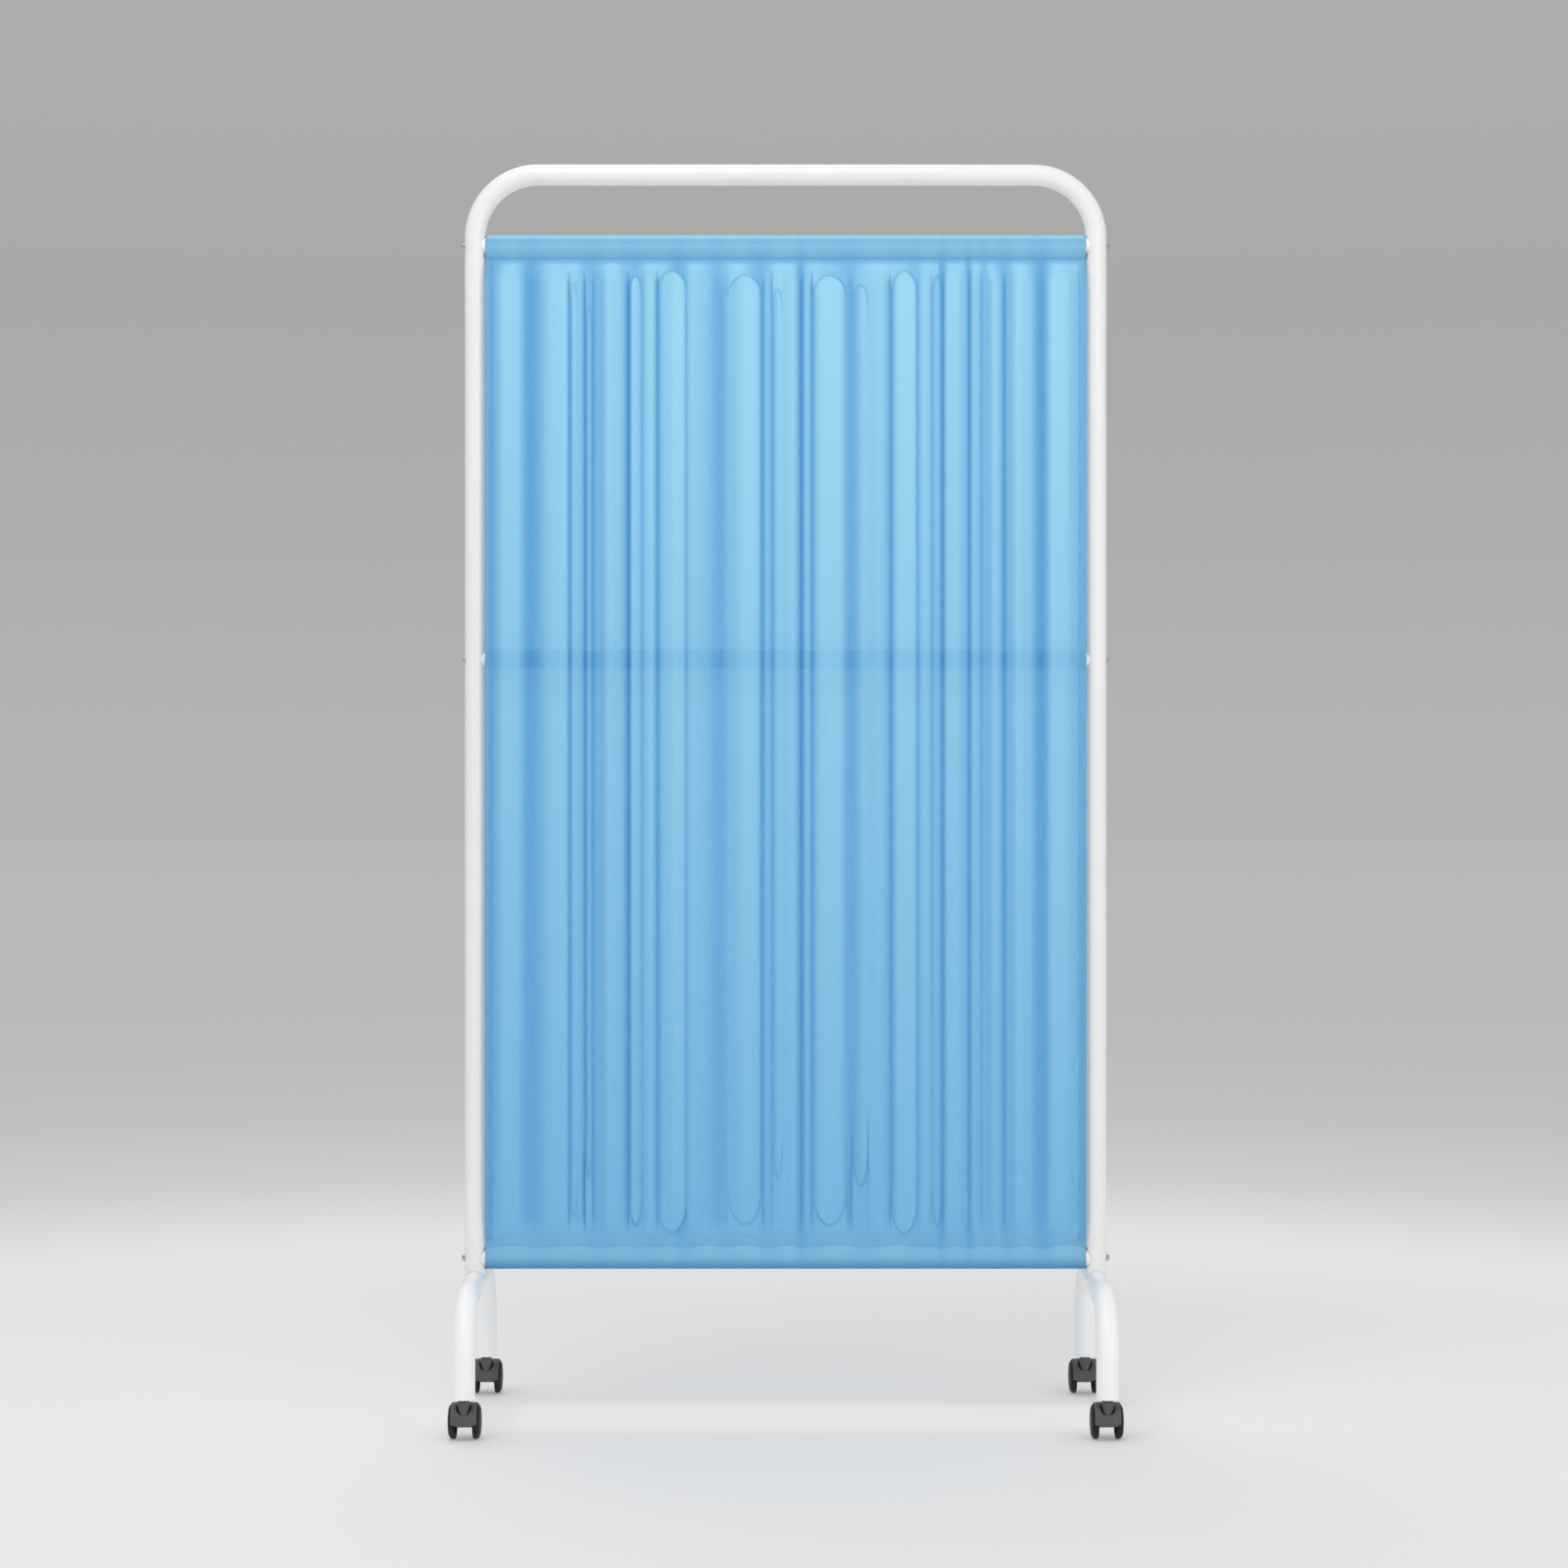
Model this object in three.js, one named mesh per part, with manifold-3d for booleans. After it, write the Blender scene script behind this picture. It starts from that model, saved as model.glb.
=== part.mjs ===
// Ward privacy screen on wheels.
// Millimetres. +Z is up, the floor is z = 0, and the front of the screen faces -Y.
// The frame's own plane is y = 0 until the whole part is centred at the end.

import * as THREE from "three";
import { mergeVertices } from "three/addons/utils/BufferGeometryUtils.js";
import Module from "manifold-3d";

const wasm = await Module();
wasm.setup();

// Clearances
const gap = 0.3;
const overrun = 5;

// Frame tube
const overallHeight = 1800;
const overallWidth = 922;
const frameTubeDiameter = 30;
const frameTubeWall = 1.2;
const cornerRadius = 90;

// Cross rods, the top one measured down from the top of the frame,
// the bottom one up from the crown of the feet
const rodDiameter = 25;
const rodWall = 1;
const topRodDrop = 117.5;
const middleRodDrop = 594.5;
const bottomRodRise = 18;

// Saddle plugs in the rod ends
const saddleLip = 2.4;
const saddleHold = 6;
const spigotLength = 20;
const spigotTaper = 1;

// Rod screws
const rodScrewDiameter = 5.8;
const rodScrewLength = 52;
const rodScrewHeadDiameter = 9.6;
const rodScrewHeadHeight = 4.2;
const rodScrewHeadEdge = 1.6;

// Feet: one arched tube under each upright
const footTubeDiameter = 32;
const footTubeWall = 1.5;
const footHeight = 211;
const footSpan = 380;
const footLegStraight = 51;

// Joint between foot and upright
const insertLength = 12.5;
const insertInset = 1.5;
const footBoltDiameter = 8;
const footBoltHeadDiameter = 14.4;
const footBoltHeadHeight = 5.3;
const footBoltTipInset = 1;
const saddleWasherDiameter = 18;
const saddleWasherThickness = 2.6;
const saddleWasherHeight = 5.2;

// Caster sockets in the leg ends
const socketFlange = 2;
const socketDepth = 30;
const socketTaper = 1.5;

// Casters: hooded twin wheels
const casterHeight = 55.5;
const casterWidth = 46;
const casterTrail = 18;
const wheelDiameter = 50;
const wheelWidth = 11.5;
const wheelCrown = 2;
const wheelDome = 4;
const wheelShoulder = 1.3;
const wheelFlatDiameter = 25;
const wheelDishDepth = 4;
const wheelRim = 3.6;
const wheelHubRadius = 6.5;
const wheelEndWall = 2.5;
const axleDiameter = 6;
const hoodSideGap = 0.6;
const hoodBottomHeight = 20.5;
const fenderWidth = 37;
const fenderGap = 0.9;
const fenderWall = 1.7;
const fenderRearRise = 7;
const webHubRadius = 9;
const bossDiameter = 22;
const bossDepth = 18;
const bossNose = 5;
const bossShoulder = 10;
const bossEdge = 4;
const stemDiameter = 11;
const stemHeadDiameter = 13.5;
const stemHeadHeight = 3.5;
const stemHeadDrop = 22;
const stemEngagement = 24;
const stemTip = 1.5;

// Curtain
const clothThickness = 1.2;
const pocketDepth = 33;
const curtainSideGap = 0.6;
const sheetInset = 0.5;
const foldDepth = 12;
const foldRunIn = 60;
const seamOverlap = 3;

// Each fold of the curtain: its place as a share of the width, left to right,
// and how far forward it stands as a share of the fold depth
const foldShares = [
  [0, 0.35], [0.012, 0.15], [0.042, 0.9], [0.076, 0.12], [0.116, 0.85],
  [0.139, 0.25], [0.15, 0.7], [0.171, 0.18], [0.187, 0.28], [0.216, 0.85],
  [0.238, 0.04], [0.249, 0.72], [0.258, 0.45], [0.27, 0.8], [0.286, 0.2],
  [0.311, 1], [0.334, 0.18], [0.35, 0.66], [0.391, 0.08], [0.431, 1],
  [0.459, 0.25], [0.476, 0.5], [0.498, 0.82], [0.522, 0], [0.533, 0.6],
  [0.545, 0.28], [0.575, 1], [0.607, 0.12], [0.638, 0.75], [0.671, 0.1],
  [0.695, 1], [0.715, 0.24], [0.73, 0.7], [0.757, 0.04], [0.78, 0.8],
  [0.802, 0.02], [0.812, 0.62], [0.827, 0.34], [0.844, 0.7], [0.866, 0.18],
  [0.895, 0.86], [0.926, 0.14], [0.953, 0.82], [0.986, 0.1], [1, 0.3],
];

// How far the folds have opened, by the share of their run-in from a pocket's seam
const openingShares = [[0, 0.06], [0.16, 0.34], [0.45, 0.78], [1, 1]];

// Facets
const tubeSides = 20;
const boreSides = 12;
const bendSteps = 6;
const wheelSides = 24;
const boltSides = 8;
const hexSides = 6;
const plugSides = 16;
const pocketSides = 16;
const copeSides = 24;
const fenderSteps = 14;

// Derived sizes
const frameTubeRadius = frameTubeDiameter / 2;
const footTubeRadius = footTubeDiameter / 2;
const rodRadius = rodDiameter / 2;
const wheelRadius = wheelDiameter / 2;
const uprightX = overallWidth / 2 - frameTubeRadius;
const legY = footSpan / 2;
const crownZ = footHeight - footTubeRadius;
const topRodZ = overallHeight - topRodDrop;
const middleRodZ = topRodZ - middleRodDrop;
const bottomRodZ = footHeight + bottomRodRise;
const rodHeights = { top: topRodZ, middle: middleRodZ, bottom: bottomRodZ };
const rodHalfLength = uprightX - frameTubeRadius - gap - saddleLip - gap;
const legEndZ = casterHeight + gap + socketFlange + gap;
const footBendRadius = crownZ - legEndZ - footLegStraight;
const axleZ = wheelRadius * Math.cos(Math.PI / wheelSides);

// Materials
const paint = (name, color, roughness, metalness) => {
  const material = new THREE.MeshStandardMaterial({ color, roughness, metalness });
  material.name = name;
  return material;
};
const whiteCoat = () => paint("white_coat", 0xf4f4f5, 0.35, 0);
const whitePlastic = () => paint("white_plastic", 0xf7f7f7, 0.45, 0);
const zinc = () => paint("zinc", 0xb9bcc0, 0.35, 0.9);
const blackNylon = () => paint("black_nylon", 0x3a3a3c, 0.5, 0);
const blackTread = () => paint("black_tread", 0x232325, 0.6, 0);
const blueCloth = () => paint("blue_cloth", 0x8cc6ea, 0.9, 0);

// Solids: joined and cut as manifolds, shown as geometries
function solid(geometry) {
  geometry.deleteAttribute("normal");
  geometry.deleteAttribute("uv");
  const merged = mergeVertices(geometry);
  const corners = merged.index.array;
  const kept = [];
  for (let i = 0; i < corners.length; i += 3) {
    const [a, b, c] = corners.slice(i, i + 3);
    if (a !== b && b !== c && c !== a) kept.push(a, b, c);
  }
  const mesh = new wasm.Mesh({
    numProp: 3,
    vertProperties: new Float32Array(merged.attributes.position.array),
    triVerts: new Uint32Array(kept),
  });
  return new wasm.Manifold(mesh);
}

function shape(manifold) {
  const mesh = manifold.getMesh();
  const geometry = new THREE.BufferGeometry();
  geometry.setAttribute("position", new THREE.BufferAttribute(mesh.vertProperties, mesh.numProp));
  geometry.setIndex(new THREE.BufferAttribute(mesh.triVerts, 1));
  geometry.computeVertexNormals();
  return geometry;
}

// A regular ring of points with one point on the first axis
function ring(radius, sides) {
  const points = [];
  for (let i = 0; i < sides; i += 1) {
    const angle = (2 * Math.PI * i) / sides;
    points.push(new THREE.Vector2(radius * Math.cos(angle), radius * Math.sin(angle)));
  }
  return points;
}

// The corner radius of a faceted bore that is nowhere smaller than the given radius,
// and the radius that a faceted bore of the given corner radius leaves free
const around = (radius, sides) => radius / Math.cos(Math.PI / sides);
const within = (radius, sides) => radius * Math.cos(Math.PI / sides);

// A round bar along Z from one height to another
function bar(radius, low, high, sides) {
  const geometry = new THREE.CylinderGeometry(radius, radius, high - low, sides);
  geometry.rotateX(Math.PI / 2);
  geometry.translate(0, 0, (low + high) / 2);
  return geometry;
}

// A turned piece about Z; the profile's points are [radius, height]
function turned(profile, sides) {
  const points = profile.map(([radius, height]) => new THREE.Vector2(radius, height));
  const geometry = new THREE.LatheGeometry(points, sides);
  geometry.rotateX(Math.PI / 2);
  return geometry;
}

// Turns a piece made along Z so that its +Z end points along +X or -X
const alongX = (geometry, side = 1) => geometry.rotateY((side * Math.PI) / 2);

// An arch whose stations fall only where it bends: up one leg, over, and down the other
class Arch extends THREE.Curve {
  constructor(halfSpan, legEnd, crown, bendRadius, place) {
    super();
    this.stations = [];
    const station = (u, z, du, dz) => this.stations.push({ at: place(u, z), along: place(du, dz) });
    station(-halfSpan, legEnd, 0, 1);
    for (const side of [-1, 1]) {
      for (let step = 0; step <= bendSteps; step += 1) {
        const turn = (Math.PI / 2) * (step / bendSteps) + (side > 0 ? Math.PI / 2 : 0);
        const u = side * (halfSpan - bendRadius) - bendRadius * Math.cos(turn);
        const z = crown - bendRadius + bendRadius * Math.sin(turn);
        station(u, z, Math.sin(turn), Math.cos(turn));
      }
    }
    station(halfSpan, legEnd, 0, -1);
  }

  nearest(share) {
    return this.stations[Math.round(share * (this.stations.length - 1))];
  }

  getPointAt(share) {
    return this.nearest(share).at.clone();
  }

  getTangentAt(share) {
    return this.nearest(share).along.clone();
  }
}

// A hollow bent tube along an arch
function bentTube(arch, radius, wall) {
  const section = new THREE.Shape(ring(radius, tubeSides));
  section.holes.push(new THREE.Path(ring(radius - wall, boreSides)));
  const steps = arch.stations.length - 1;
  return new THREE.ExtrudeGeometry(section, { steps, extrudePath: arch });
}

// Frame tube: the inverted U, drilled for the rod screws and coped onto the feet
function frameTube() {
  const place = (u, z) => new THREE.Vector3(u, 0, z);
  const arch = new Arch(uprightX, crownZ, overallHeight - frameTubeRadius, cornerRadius, place);
  let tube = solid(bentTube(arch, frameTubeRadius, frameTubeWall));
  const holeRadius = around(rodScrewDiameter / 2 + gap, boltSides);
  const reach = frameTubeRadius + overrun;
  for (const side of [-1, 1]) {
    for (const height of Object.values(rodHeights)) {
      const drill = alongX(bar(holeRadius, -reach, reach, boltSides));
      drill.translate(side * uprightX, 0, height);
      tube = tube.subtract(solid(drill));
    }
    tube = tube.subtract(solid(crownBar(side, reach)));
  }
  return shape(tube);
}

// The outside of a foot's crown with its gap, as a bar along Y under one upright
function crownBar(side, halfLength) {
  const cope = bar(around(footTubeRadius + gap, copeSides), -halfLength, halfLength, copeSides);
  cope.rotateX(Math.PI / 2);
  cope.translate(side * uprightX, 0, crownZ);
  return cope;
}

// Foot: an arched tube, drilled through its crown for the foot bolt
function foot(side) {
  const place = (u, z) => new THREE.Vector3(0, u, z);
  const arch = new Arch(legY, legEndZ, crownZ, footBendRadius, place);
  const holeRadius = around(footBoltDiameter / 2 + gap, boltSides);
  const drill = bar(holeRadius, crownZ - footTubeRadius - overrun, footHeight + overrun, boltSides);
  const tube = solid(bentTube(arch, footTubeRadius, footTubeWall)).subtract(solid(drill));
  return shape(tube).translate(side * uprightX, 0, 0);
}

// Cross rod: a straight open tube
function rod(height) {
  const section = new THREE.Shape(ring(rodRadius, tubeSides));
  section.holes.push(new THREE.Path(ring(rodRadius - rodWall, boreSides)));
  const geometry = new THREE.ExtrudeGeometry(section, { depth: 2 * rodHalfLength, bevelEnabled: false });
  geometry.translate(0, 0, -rodHalfLength);
  return alongX(geometry).translate(0, 0, height);
}

// Saddle plug: a spigot in the rod's end and a lip that is hollowed to hug the upright
function saddlePlug(side, height) {
  const bore = around(rodScrewDiameter / 2 + gap, plugSides);
  const spigot = within(rodRadius - rodWall, boreSides) - gap;
  const lipStart = rodHalfLength + gap;
  const end = rodHalfLength - spigotLength;
  const lipEnd = lipStart + saddleLip + saddleHold;
  const profile = [
    [bore, end],
    [spigot - spigotTaper, end],
    [spigot, end + spigotTaper],
    [spigot, lipStart],
    [rodRadius, lipStart],
    [rodRadius, lipEnd],
    [bore, lipEnd],
    [bore, end],
  ];
  const plug = solid(alongX(turned(profile, plugSides)));
  const reach = rodRadius + overrun;
  const upright = bar(around(frameTubeRadius + gap, copeSides), -reach, reach, copeSides);
  const geometry = shape(plug.subtract(solid(upright.translate(uprightX, 0, 0))));
  if (side < 0) geometry.rotateZ(Math.PI);
  return geometry.translate(0, 0, height);
}

// Rod screw: a pan head outside the upright, its shank through both walls into the saddle plug
function rodScrew(side, height) {
  const headRadius = rodScrewHeadDiameter / 2;
  const shankRadius = rodScrewDiameter / 2;
  const seat = overallWidth / 2 + gap;
  const profile = [
    [0, seat - rodScrewLength],
    [shankRadius, seat - rodScrewLength],
    [shankRadius, seat],
    [headRadius, seat],
    [headRadius, seat + rodScrewHeadHeight - rodScrewHeadEdge],
    [headRadius - rodScrewHeadEdge, seat + rodScrewHeadHeight],
    [0, seat + rodScrewHeadHeight],
  ];
  return alongX(turned(profile, boltSides), side).translate(0, 0, height);
}

// Threaded insert: pressed in the lower end of an upright for the foot bolt
function uprightInsert(side) {
  const outer = within(frameTubeRadius - frameTubeWall, boreSides) - gap;
  const bore = around(footBoltDiameter / 2 + gap, plugSides);
  const low = footHeight + insertInset;
  const profile = [
    [bore, low],
    [outer, low],
    [outer, low + insertLength],
    [bore, low + insertLength],
    [bore, low],
  ];
  return turned(profile, plugSides).translate(side * uprightX, 0, 0);
}

// Saddle washer: flat below for the bolt head, hollowed above to fit the round crown
const washerLow = crownZ - footTubeRadius - gap - saddleWasherThickness;
function saddleWasher(side) {
  const bore = around(footBoltDiameter / 2 + gap, plugSides);
  const outer = saddleWasherDiameter / 2;
  const high = washerLow + saddleWasherHeight;
  const profile = [
    [bore, washerLow],
    [outer, washerLow],
    [outer, high],
    [bore, high],
    [bore, washerLow],
  ];
  const disc = solid(turned(profile, plugSides)).translate([side * uprightX, 0, 0]);
  return shape(disc.subtract(solid(crownBar(side, outer + overrun))));
}

// Foot bolt: a hexagon head under the washer, its shank up through the crown into the insert
function footBolt(side) {
  const seat = washerLow - gap;
  const tip = footHeight + insertInset + insertLength - footBoltTipInset;
  const head = bar(footBoltHeadDiameter / 2, seat - footBoltHeadHeight, seat, hexSides);
  const shank = bar(footBoltDiameter / 2, seat - footBoltHeadHeight / 2, tip, boltSides);
  return shape(solid(head).add(solid(shank))).translate(side * uprightX, 0, 0);
}

// Caster socket: a flanged plug in a leg's end, bored for the stem
function casterSocket() {
  const bore = around(stemDiameter / 2 + gap, plugSides);
  const outer = within(footTubeRadius - footTubeWall, boreSides) - gap;
  const low = casterHeight + gap;
  const high = legEndZ + socketDepth;
  const profile = [
    [bore, low],
    [footTubeRadius, low],
    [footTubeRadius, low + socketFlange],
    [outer, low + socketFlange],
    [outer, high - socketTaper],
    [outer - socketTaper, high],
    [bore, high],
    [bore, low],
  ];
  return turned(profile, plugSides);
}

// Caster stem: a headed pin that the hood turns on
function casterStem() {
  const shankRadius = stemDiameter / 2;
  const headRadius = stemHeadDiameter / 2;
  const headHigh = casterHeight - stemHeadDrop;
  const high = legEndZ + stemEngagement;
  const profile = [
    [0, headHigh - stemHeadHeight],
    [headRadius, headHigh - stemHeadHeight],
    [headRadius, headHigh],
    [shankRadius, headHigh],
    [shankRadius, high - stemTip],
    [shankRadius - stemTip, high],
    [0, high],
  ];
  return turned(profile, plugSides);
}

// Caster axle: a plain pin through the hood's web into both wheels
const axleHalfLength = casterWidth / 2 - wheelEndWall - gap;
function casterAxle() {
  const pin = alongX(bar(axleDiameter / 2, -axleHalfLength, axleHalfLength, boreSides));
  return pin.translate(0, casterTrail, axleZ);
}

// An outline drawn in Y and Z, pushed out evenly to both sides along X
function slab(outline, width) {
  const geometry = new THREE.ExtrudeGeometry(outline, { depth: width, bevelEnabled: false });
  geometry.translate(0, 0, -width / 2);
  geometry.rotateZ(Math.PI / 2);
  return geometry.rotateY(Math.PI / 2);
}

// Points along an arc in an outline
function arc(y, z, radius, from, to, steps) {
  const points = [];
  for (let step = 0; step <= steps; step += 1) {
    const angle = from + ((to - from) * step) / steps;
    points.push(new THREE.Vector2(y + radius * Math.cos(angle), z + radius * Math.sin(angle)));
  }
  return points;
}

// Caster hood: a web between the wheels, a fender over them and the boss for the stem
const fenderInner = wheelRadius + fenderGap;
const fenderOuter = fenderInner + fenderWall;
function casterHood() {
  const front = Math.PI + Math.asin((axleZ - hoodBottomHeight) / fenderOuter);
  const rear = Math.asin(fenderRearRise / fenderOuter);
  const webRadius = fenderInner + fenderWall / 2;

  const fender = new THREE.Shape([
    ...arc(casterTrail, axleZ, fenderOuter, front, rear, fenderSteps),
    ...arc(casterTrail, axleZ, fenderInner, rear, front, fenderSteps),
  ]);

  const web = new THREE.Shape([
    ...arc(casterTrail, axleZ, webRadius, front, rear, fenderSteps),
    new THREE.Vector2(casterTrail + webHubRadius, hoodBottomHeight),
  ]);

  const bossRadius = bossDiameter / 2;
  const bossLow = casterHeight - bossDepth;
  const boss = turned([
    [0, bossLow],
    [bossRadius - bossNose, bossLow],
    [bossRadius, casterHeight - bossShoulder],
    [bossRadius, casterHeight - bossEdge],
    [bossRadius - bossEdge, casterHeight],
    [0, casterHeight],
  ], plugSides);

  const webWidth = casterWidth - 2 * wheelWidth - 2 * hoodSideGap;
  const stemBoreRadius = around(stemDiameter / 2 + gap, plugSides);
  const stemBore = bar(stemBoreRadius, hoodBottomHeight, casterHeight + overrun, plugSides);
  const chamberRadius = around(stemHeadDiameter / 2 + gap, plugSides);
  const chamberTop = casterHeight - stemHeadDrop + gap;
  const chamber = bar(chamberRadius, -overrun, chamberTop, plugSides);
  const axleBoreRadius = around(axleDiameter / 2 + gap, boreSides);
  const axleBore = alongX(bar(axleBoreRadius, -casterWidth, casterWidth, boreSides));
  axleBore.translate(0, casterTrail, axleZ);

  const body = solid(slab(web, webWidth)).add(solid(slab(fender, fenderWidth))).add(solid(boss));
  return shape(body.subtract(solid(stemBore)).subtract(solid(chamber)).subtract(solid(axleBore)));
}

// Caster wheel: domed outside, dished inside, with a blind bore for the axle
function casterWheel(side) {
  const inner = casterWidth / 2 - wheelWidth;
  const outer = casterWidth / 2;
  const bore = around(axleDiameter / 2 + gap, wheelSides);
  const tread = wheelRadius - wheelCrown;
  const profile = [
    [0, outer - wheelEndWall],
    [bore, outer - wheelEndWall],
    [bore, inner],
    [wheelHubRadius, inner],
    [wheelHubRadius, inner + wheelDishDepth],
    [wheelRadius - wheelRim, inner + wheelDishDepth],
    [tread, inner],
    [wheelRadius, inner + wheelCrown],
    [wheelRadius, outer - wheelDome],
    [wheelRadius - wheelDome, outer - wheelShoulder],
    [wheelFlatDiameter / 2, outer],
    [0, outer],
  ];
  const geometry = turned(profile, wheelSides);
  geometry.rotateZ(Math.PI / wheelSides);
  return alongX(geometry, side).translate(0, casterTrail, axleZ);
}

// Curtain pocket: a band of cloth round a rod, drawn to a seam below the top rod
// or above the bottom one; the angle is where the band leaves the rod for its seam
const pocketRadius = rodRadius + gap + clothThickness;
const seamReach = pocketDepth - pocketRadius;
const curtainHalfWidth = uprightX - frameTubeRadius - curtainSideGap;
const leavingAngle = Math.PI / 5;
function pocket(height, seamward) {
  const seamMiddle = (seamward * Math.PI) / 2;
  const from = seamMiddle + leavingAngle;
  const to = seamMiddle + 2 * Math.PI - leavingAngle;
  const corner = around(pocketRadius, pocketSides);
  const outline = new THREE.Shape([
    ...arc(0, 0, corner, from, to, pocketSides),
    new THREE.Vector2(seamward * clothThickness, seamward * seamReach),
    new THREE.Vector2(-seamward * clothThickness, seamward * seamReach),
  ]);
  const hole = ring(around(rodRadius + gap, pocketSides), pocketSides);
  outline.holes.push(new THREE.Path(hole));
  return slab(outline, 2 * curtainHalfWidth).translate(0, 0, height);
}

// Curtain sheet: gathered folds between the two seams, standing forward of the middle rod
function sheet() {
  const halfWidth = curtainHalfWidth - sheetInset;
  const topSeam = topRodZ - seamReach;
  const bottomSeam = bottomRodZ + seamReach;
  const standOff = rodRadius + gap + clothThickness / 2;
  const rows = [[topSeam + seamOverlap, 0]];
  for (const [run, opened] of openingShares) rows.push([topSeam - run * foldRunIn, opened]);
  for (const [run, opened] of [...openingShares].reverse()) {
    rows.push([bottomSeam + run * foldRunIn, opened]);
  }
  rows.push([bottomSeam - seamOverlap, 0]);

  const middle = (column, row) => {
    const [across, forward] = foldShares[column];
    const [z, opened] = rows[row];
    const x = (2 * across - 1) * halfWidth;
    return new THREE.Vector3(x, -opened * (standOff + forward * foldDepth), z);
  };
  const lastColumn = foldShares.length - 1;
  const lastRow = rows.length - 1;
  const clamp = (value, last) => Math.min(Math.max(value, 0), last);
  const faceward = (column, row) => {
    const acrossStep = middle(clamp(column + 1, lastColumn), row);
    acrossStep.sub(middle(clamp(column - 1, lastColumn), row));
    const downStep = middle(column, clamp(row + 1, lastRow));
    downStep.sub(middle(column, clamp(row - 1, lastRow)));
    return downStep.cross(acrossStep).normalize();
  };

  const positions = [];
  for (const face of [1, -1]) {
    for (let row = 0; row <= lastRow; row += 1) {
      for (let column = 0; column <= lastColumn; column += 1) {
        const offset = faceward(column, row).multiplyScalar((face * clothThickness) / 2);
        positions.push(...middle(column, row).add(offset).toArray());
      }
    }
  }

  const width = lastColumn + 1;
  const backStart = width * (lastRow + 1);
  const index = [];
  const quad = (a, b, c, d) => index.push(a, b, c, a, c, d);
  for (let row = 0; row < lastRow; row += 1) {
    for (let column = 0; column < lastColumn; column += 1) {
      const a = row * width + column;
      quad(a, a + width, a + width + 1, a + 1);
      quad(backStart + a, backStart + a + 1, backStart + a + width + 1, backStart + a + width);
    }
    const left = row * width;
    const right = left + lastColumn;
    quad(left, backStart + left, backStart + left + width, left + width);
    quad(right, right + width, backStart + right + width, backStart + right);
  }
  const bottomLeft = lastRow * width;
  for (let column = 0; column < lastColumn; column += 1) {
    quad(column, column + 1, backStart + column + 1, backStart + column);
    const low = bottomLeft + column;
    quad(low, backStart + low, backStart + low + 1, low + 1);
  }
  const geometry = new THREE.BufferGeometry();
  geometry.setAttribute("position", new THREE.Float32BufferAttribute(positions, 3));
  geometry.setIndex(index);
  return geometry;
}

function curtain() {
  const pockets = solid(pocket(topRodZ, -1)).add(solid(pocket(bottomRodZ, 1)));
  return shape(pockets.add(solid(sheet())));
}

// Assembly
const screen = new THREE.Group();

function add(parent, name, geometry, material) {
  const mesh = new THREE.Mesh(shape(solid(geometry)), material);
  mesh.name = name;
  parent.add(mesh);
}

const sides = { left: -1, right: 1 };
const ends = { front: -1, rear: 1 };

add(screen, "frame_tube", frameTube(), whiteCoat());
for (const [level, height] of Object.entries(rodHeights)) {
  add(screen, `rod_${level}`, rod(height), whiteCoat());
  for (const [name, side] of Object.entries(sides)) {
    add(screen, `saddle_plug_${level}_${name}`, saddlePlug(side, height), whitePlastic());
    add(screen, `rod_screw_${level}_${name}`, rodScrew(side, height), zinc());
  }
}
for (const [name, side] of Object.entries(sides)) {
  add(screen, `foot_${name}`, foot(side), whiteCoat());
  add(screen, `upright_insert_${name}`, uprightInsert(side), zinc());
  add(screen, `saddle_washer_${name}`, saddleWasher(side), zinc());
  add(screen, `foot_bolt_${name}`, footBolt(side), zinc());
}
add(screen, "curtain", curtain(), blueCloth());

for (const [end, along] of Object.entries(ends)) {
  for (const [name, side] of Object.entries(sides)) {
    const caster = new THREE.Group();
    caster.position.set(side * uprightX, along * legY, 0);
    add(caster, `caster_socket_${end}_${name}`, casterSocket(), whitePlastic());
    add(caster, `caster_stem_${end}_${name}`, casterStem(), zinc());
    add(caster, `caster_hood_${end}_${name}`, casterHood(), blackNylon());
    add(caster, `caster_axle_${end}_${name}`, casterAxle(), zinc());
    add(caster, `wheel_${end}_${name}_outer`, casterWheel(side), blackTread());
    add(caster, `wheel_${end}_${name}_inner`, casterWheel(-side), blackTread());
    screen.add(caster);
  }
}

// The legs reach furthest to the front and the trailing fenders furthest to the rear
const frontReach = legY + footTubeRadius;
const rearReach = legY + casterTrail + Math.sqrt(fenderOuter ** 2 - fenderRearRise ** 2);
screen.position.y = (frontReach - rearReach) / 2;

const part = new THREE.Group();
part.add(screen);

export default part;
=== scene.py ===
import math

import bmesh
import bpy
import numpy as np
from mathutils import Matrix, Vector


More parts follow.
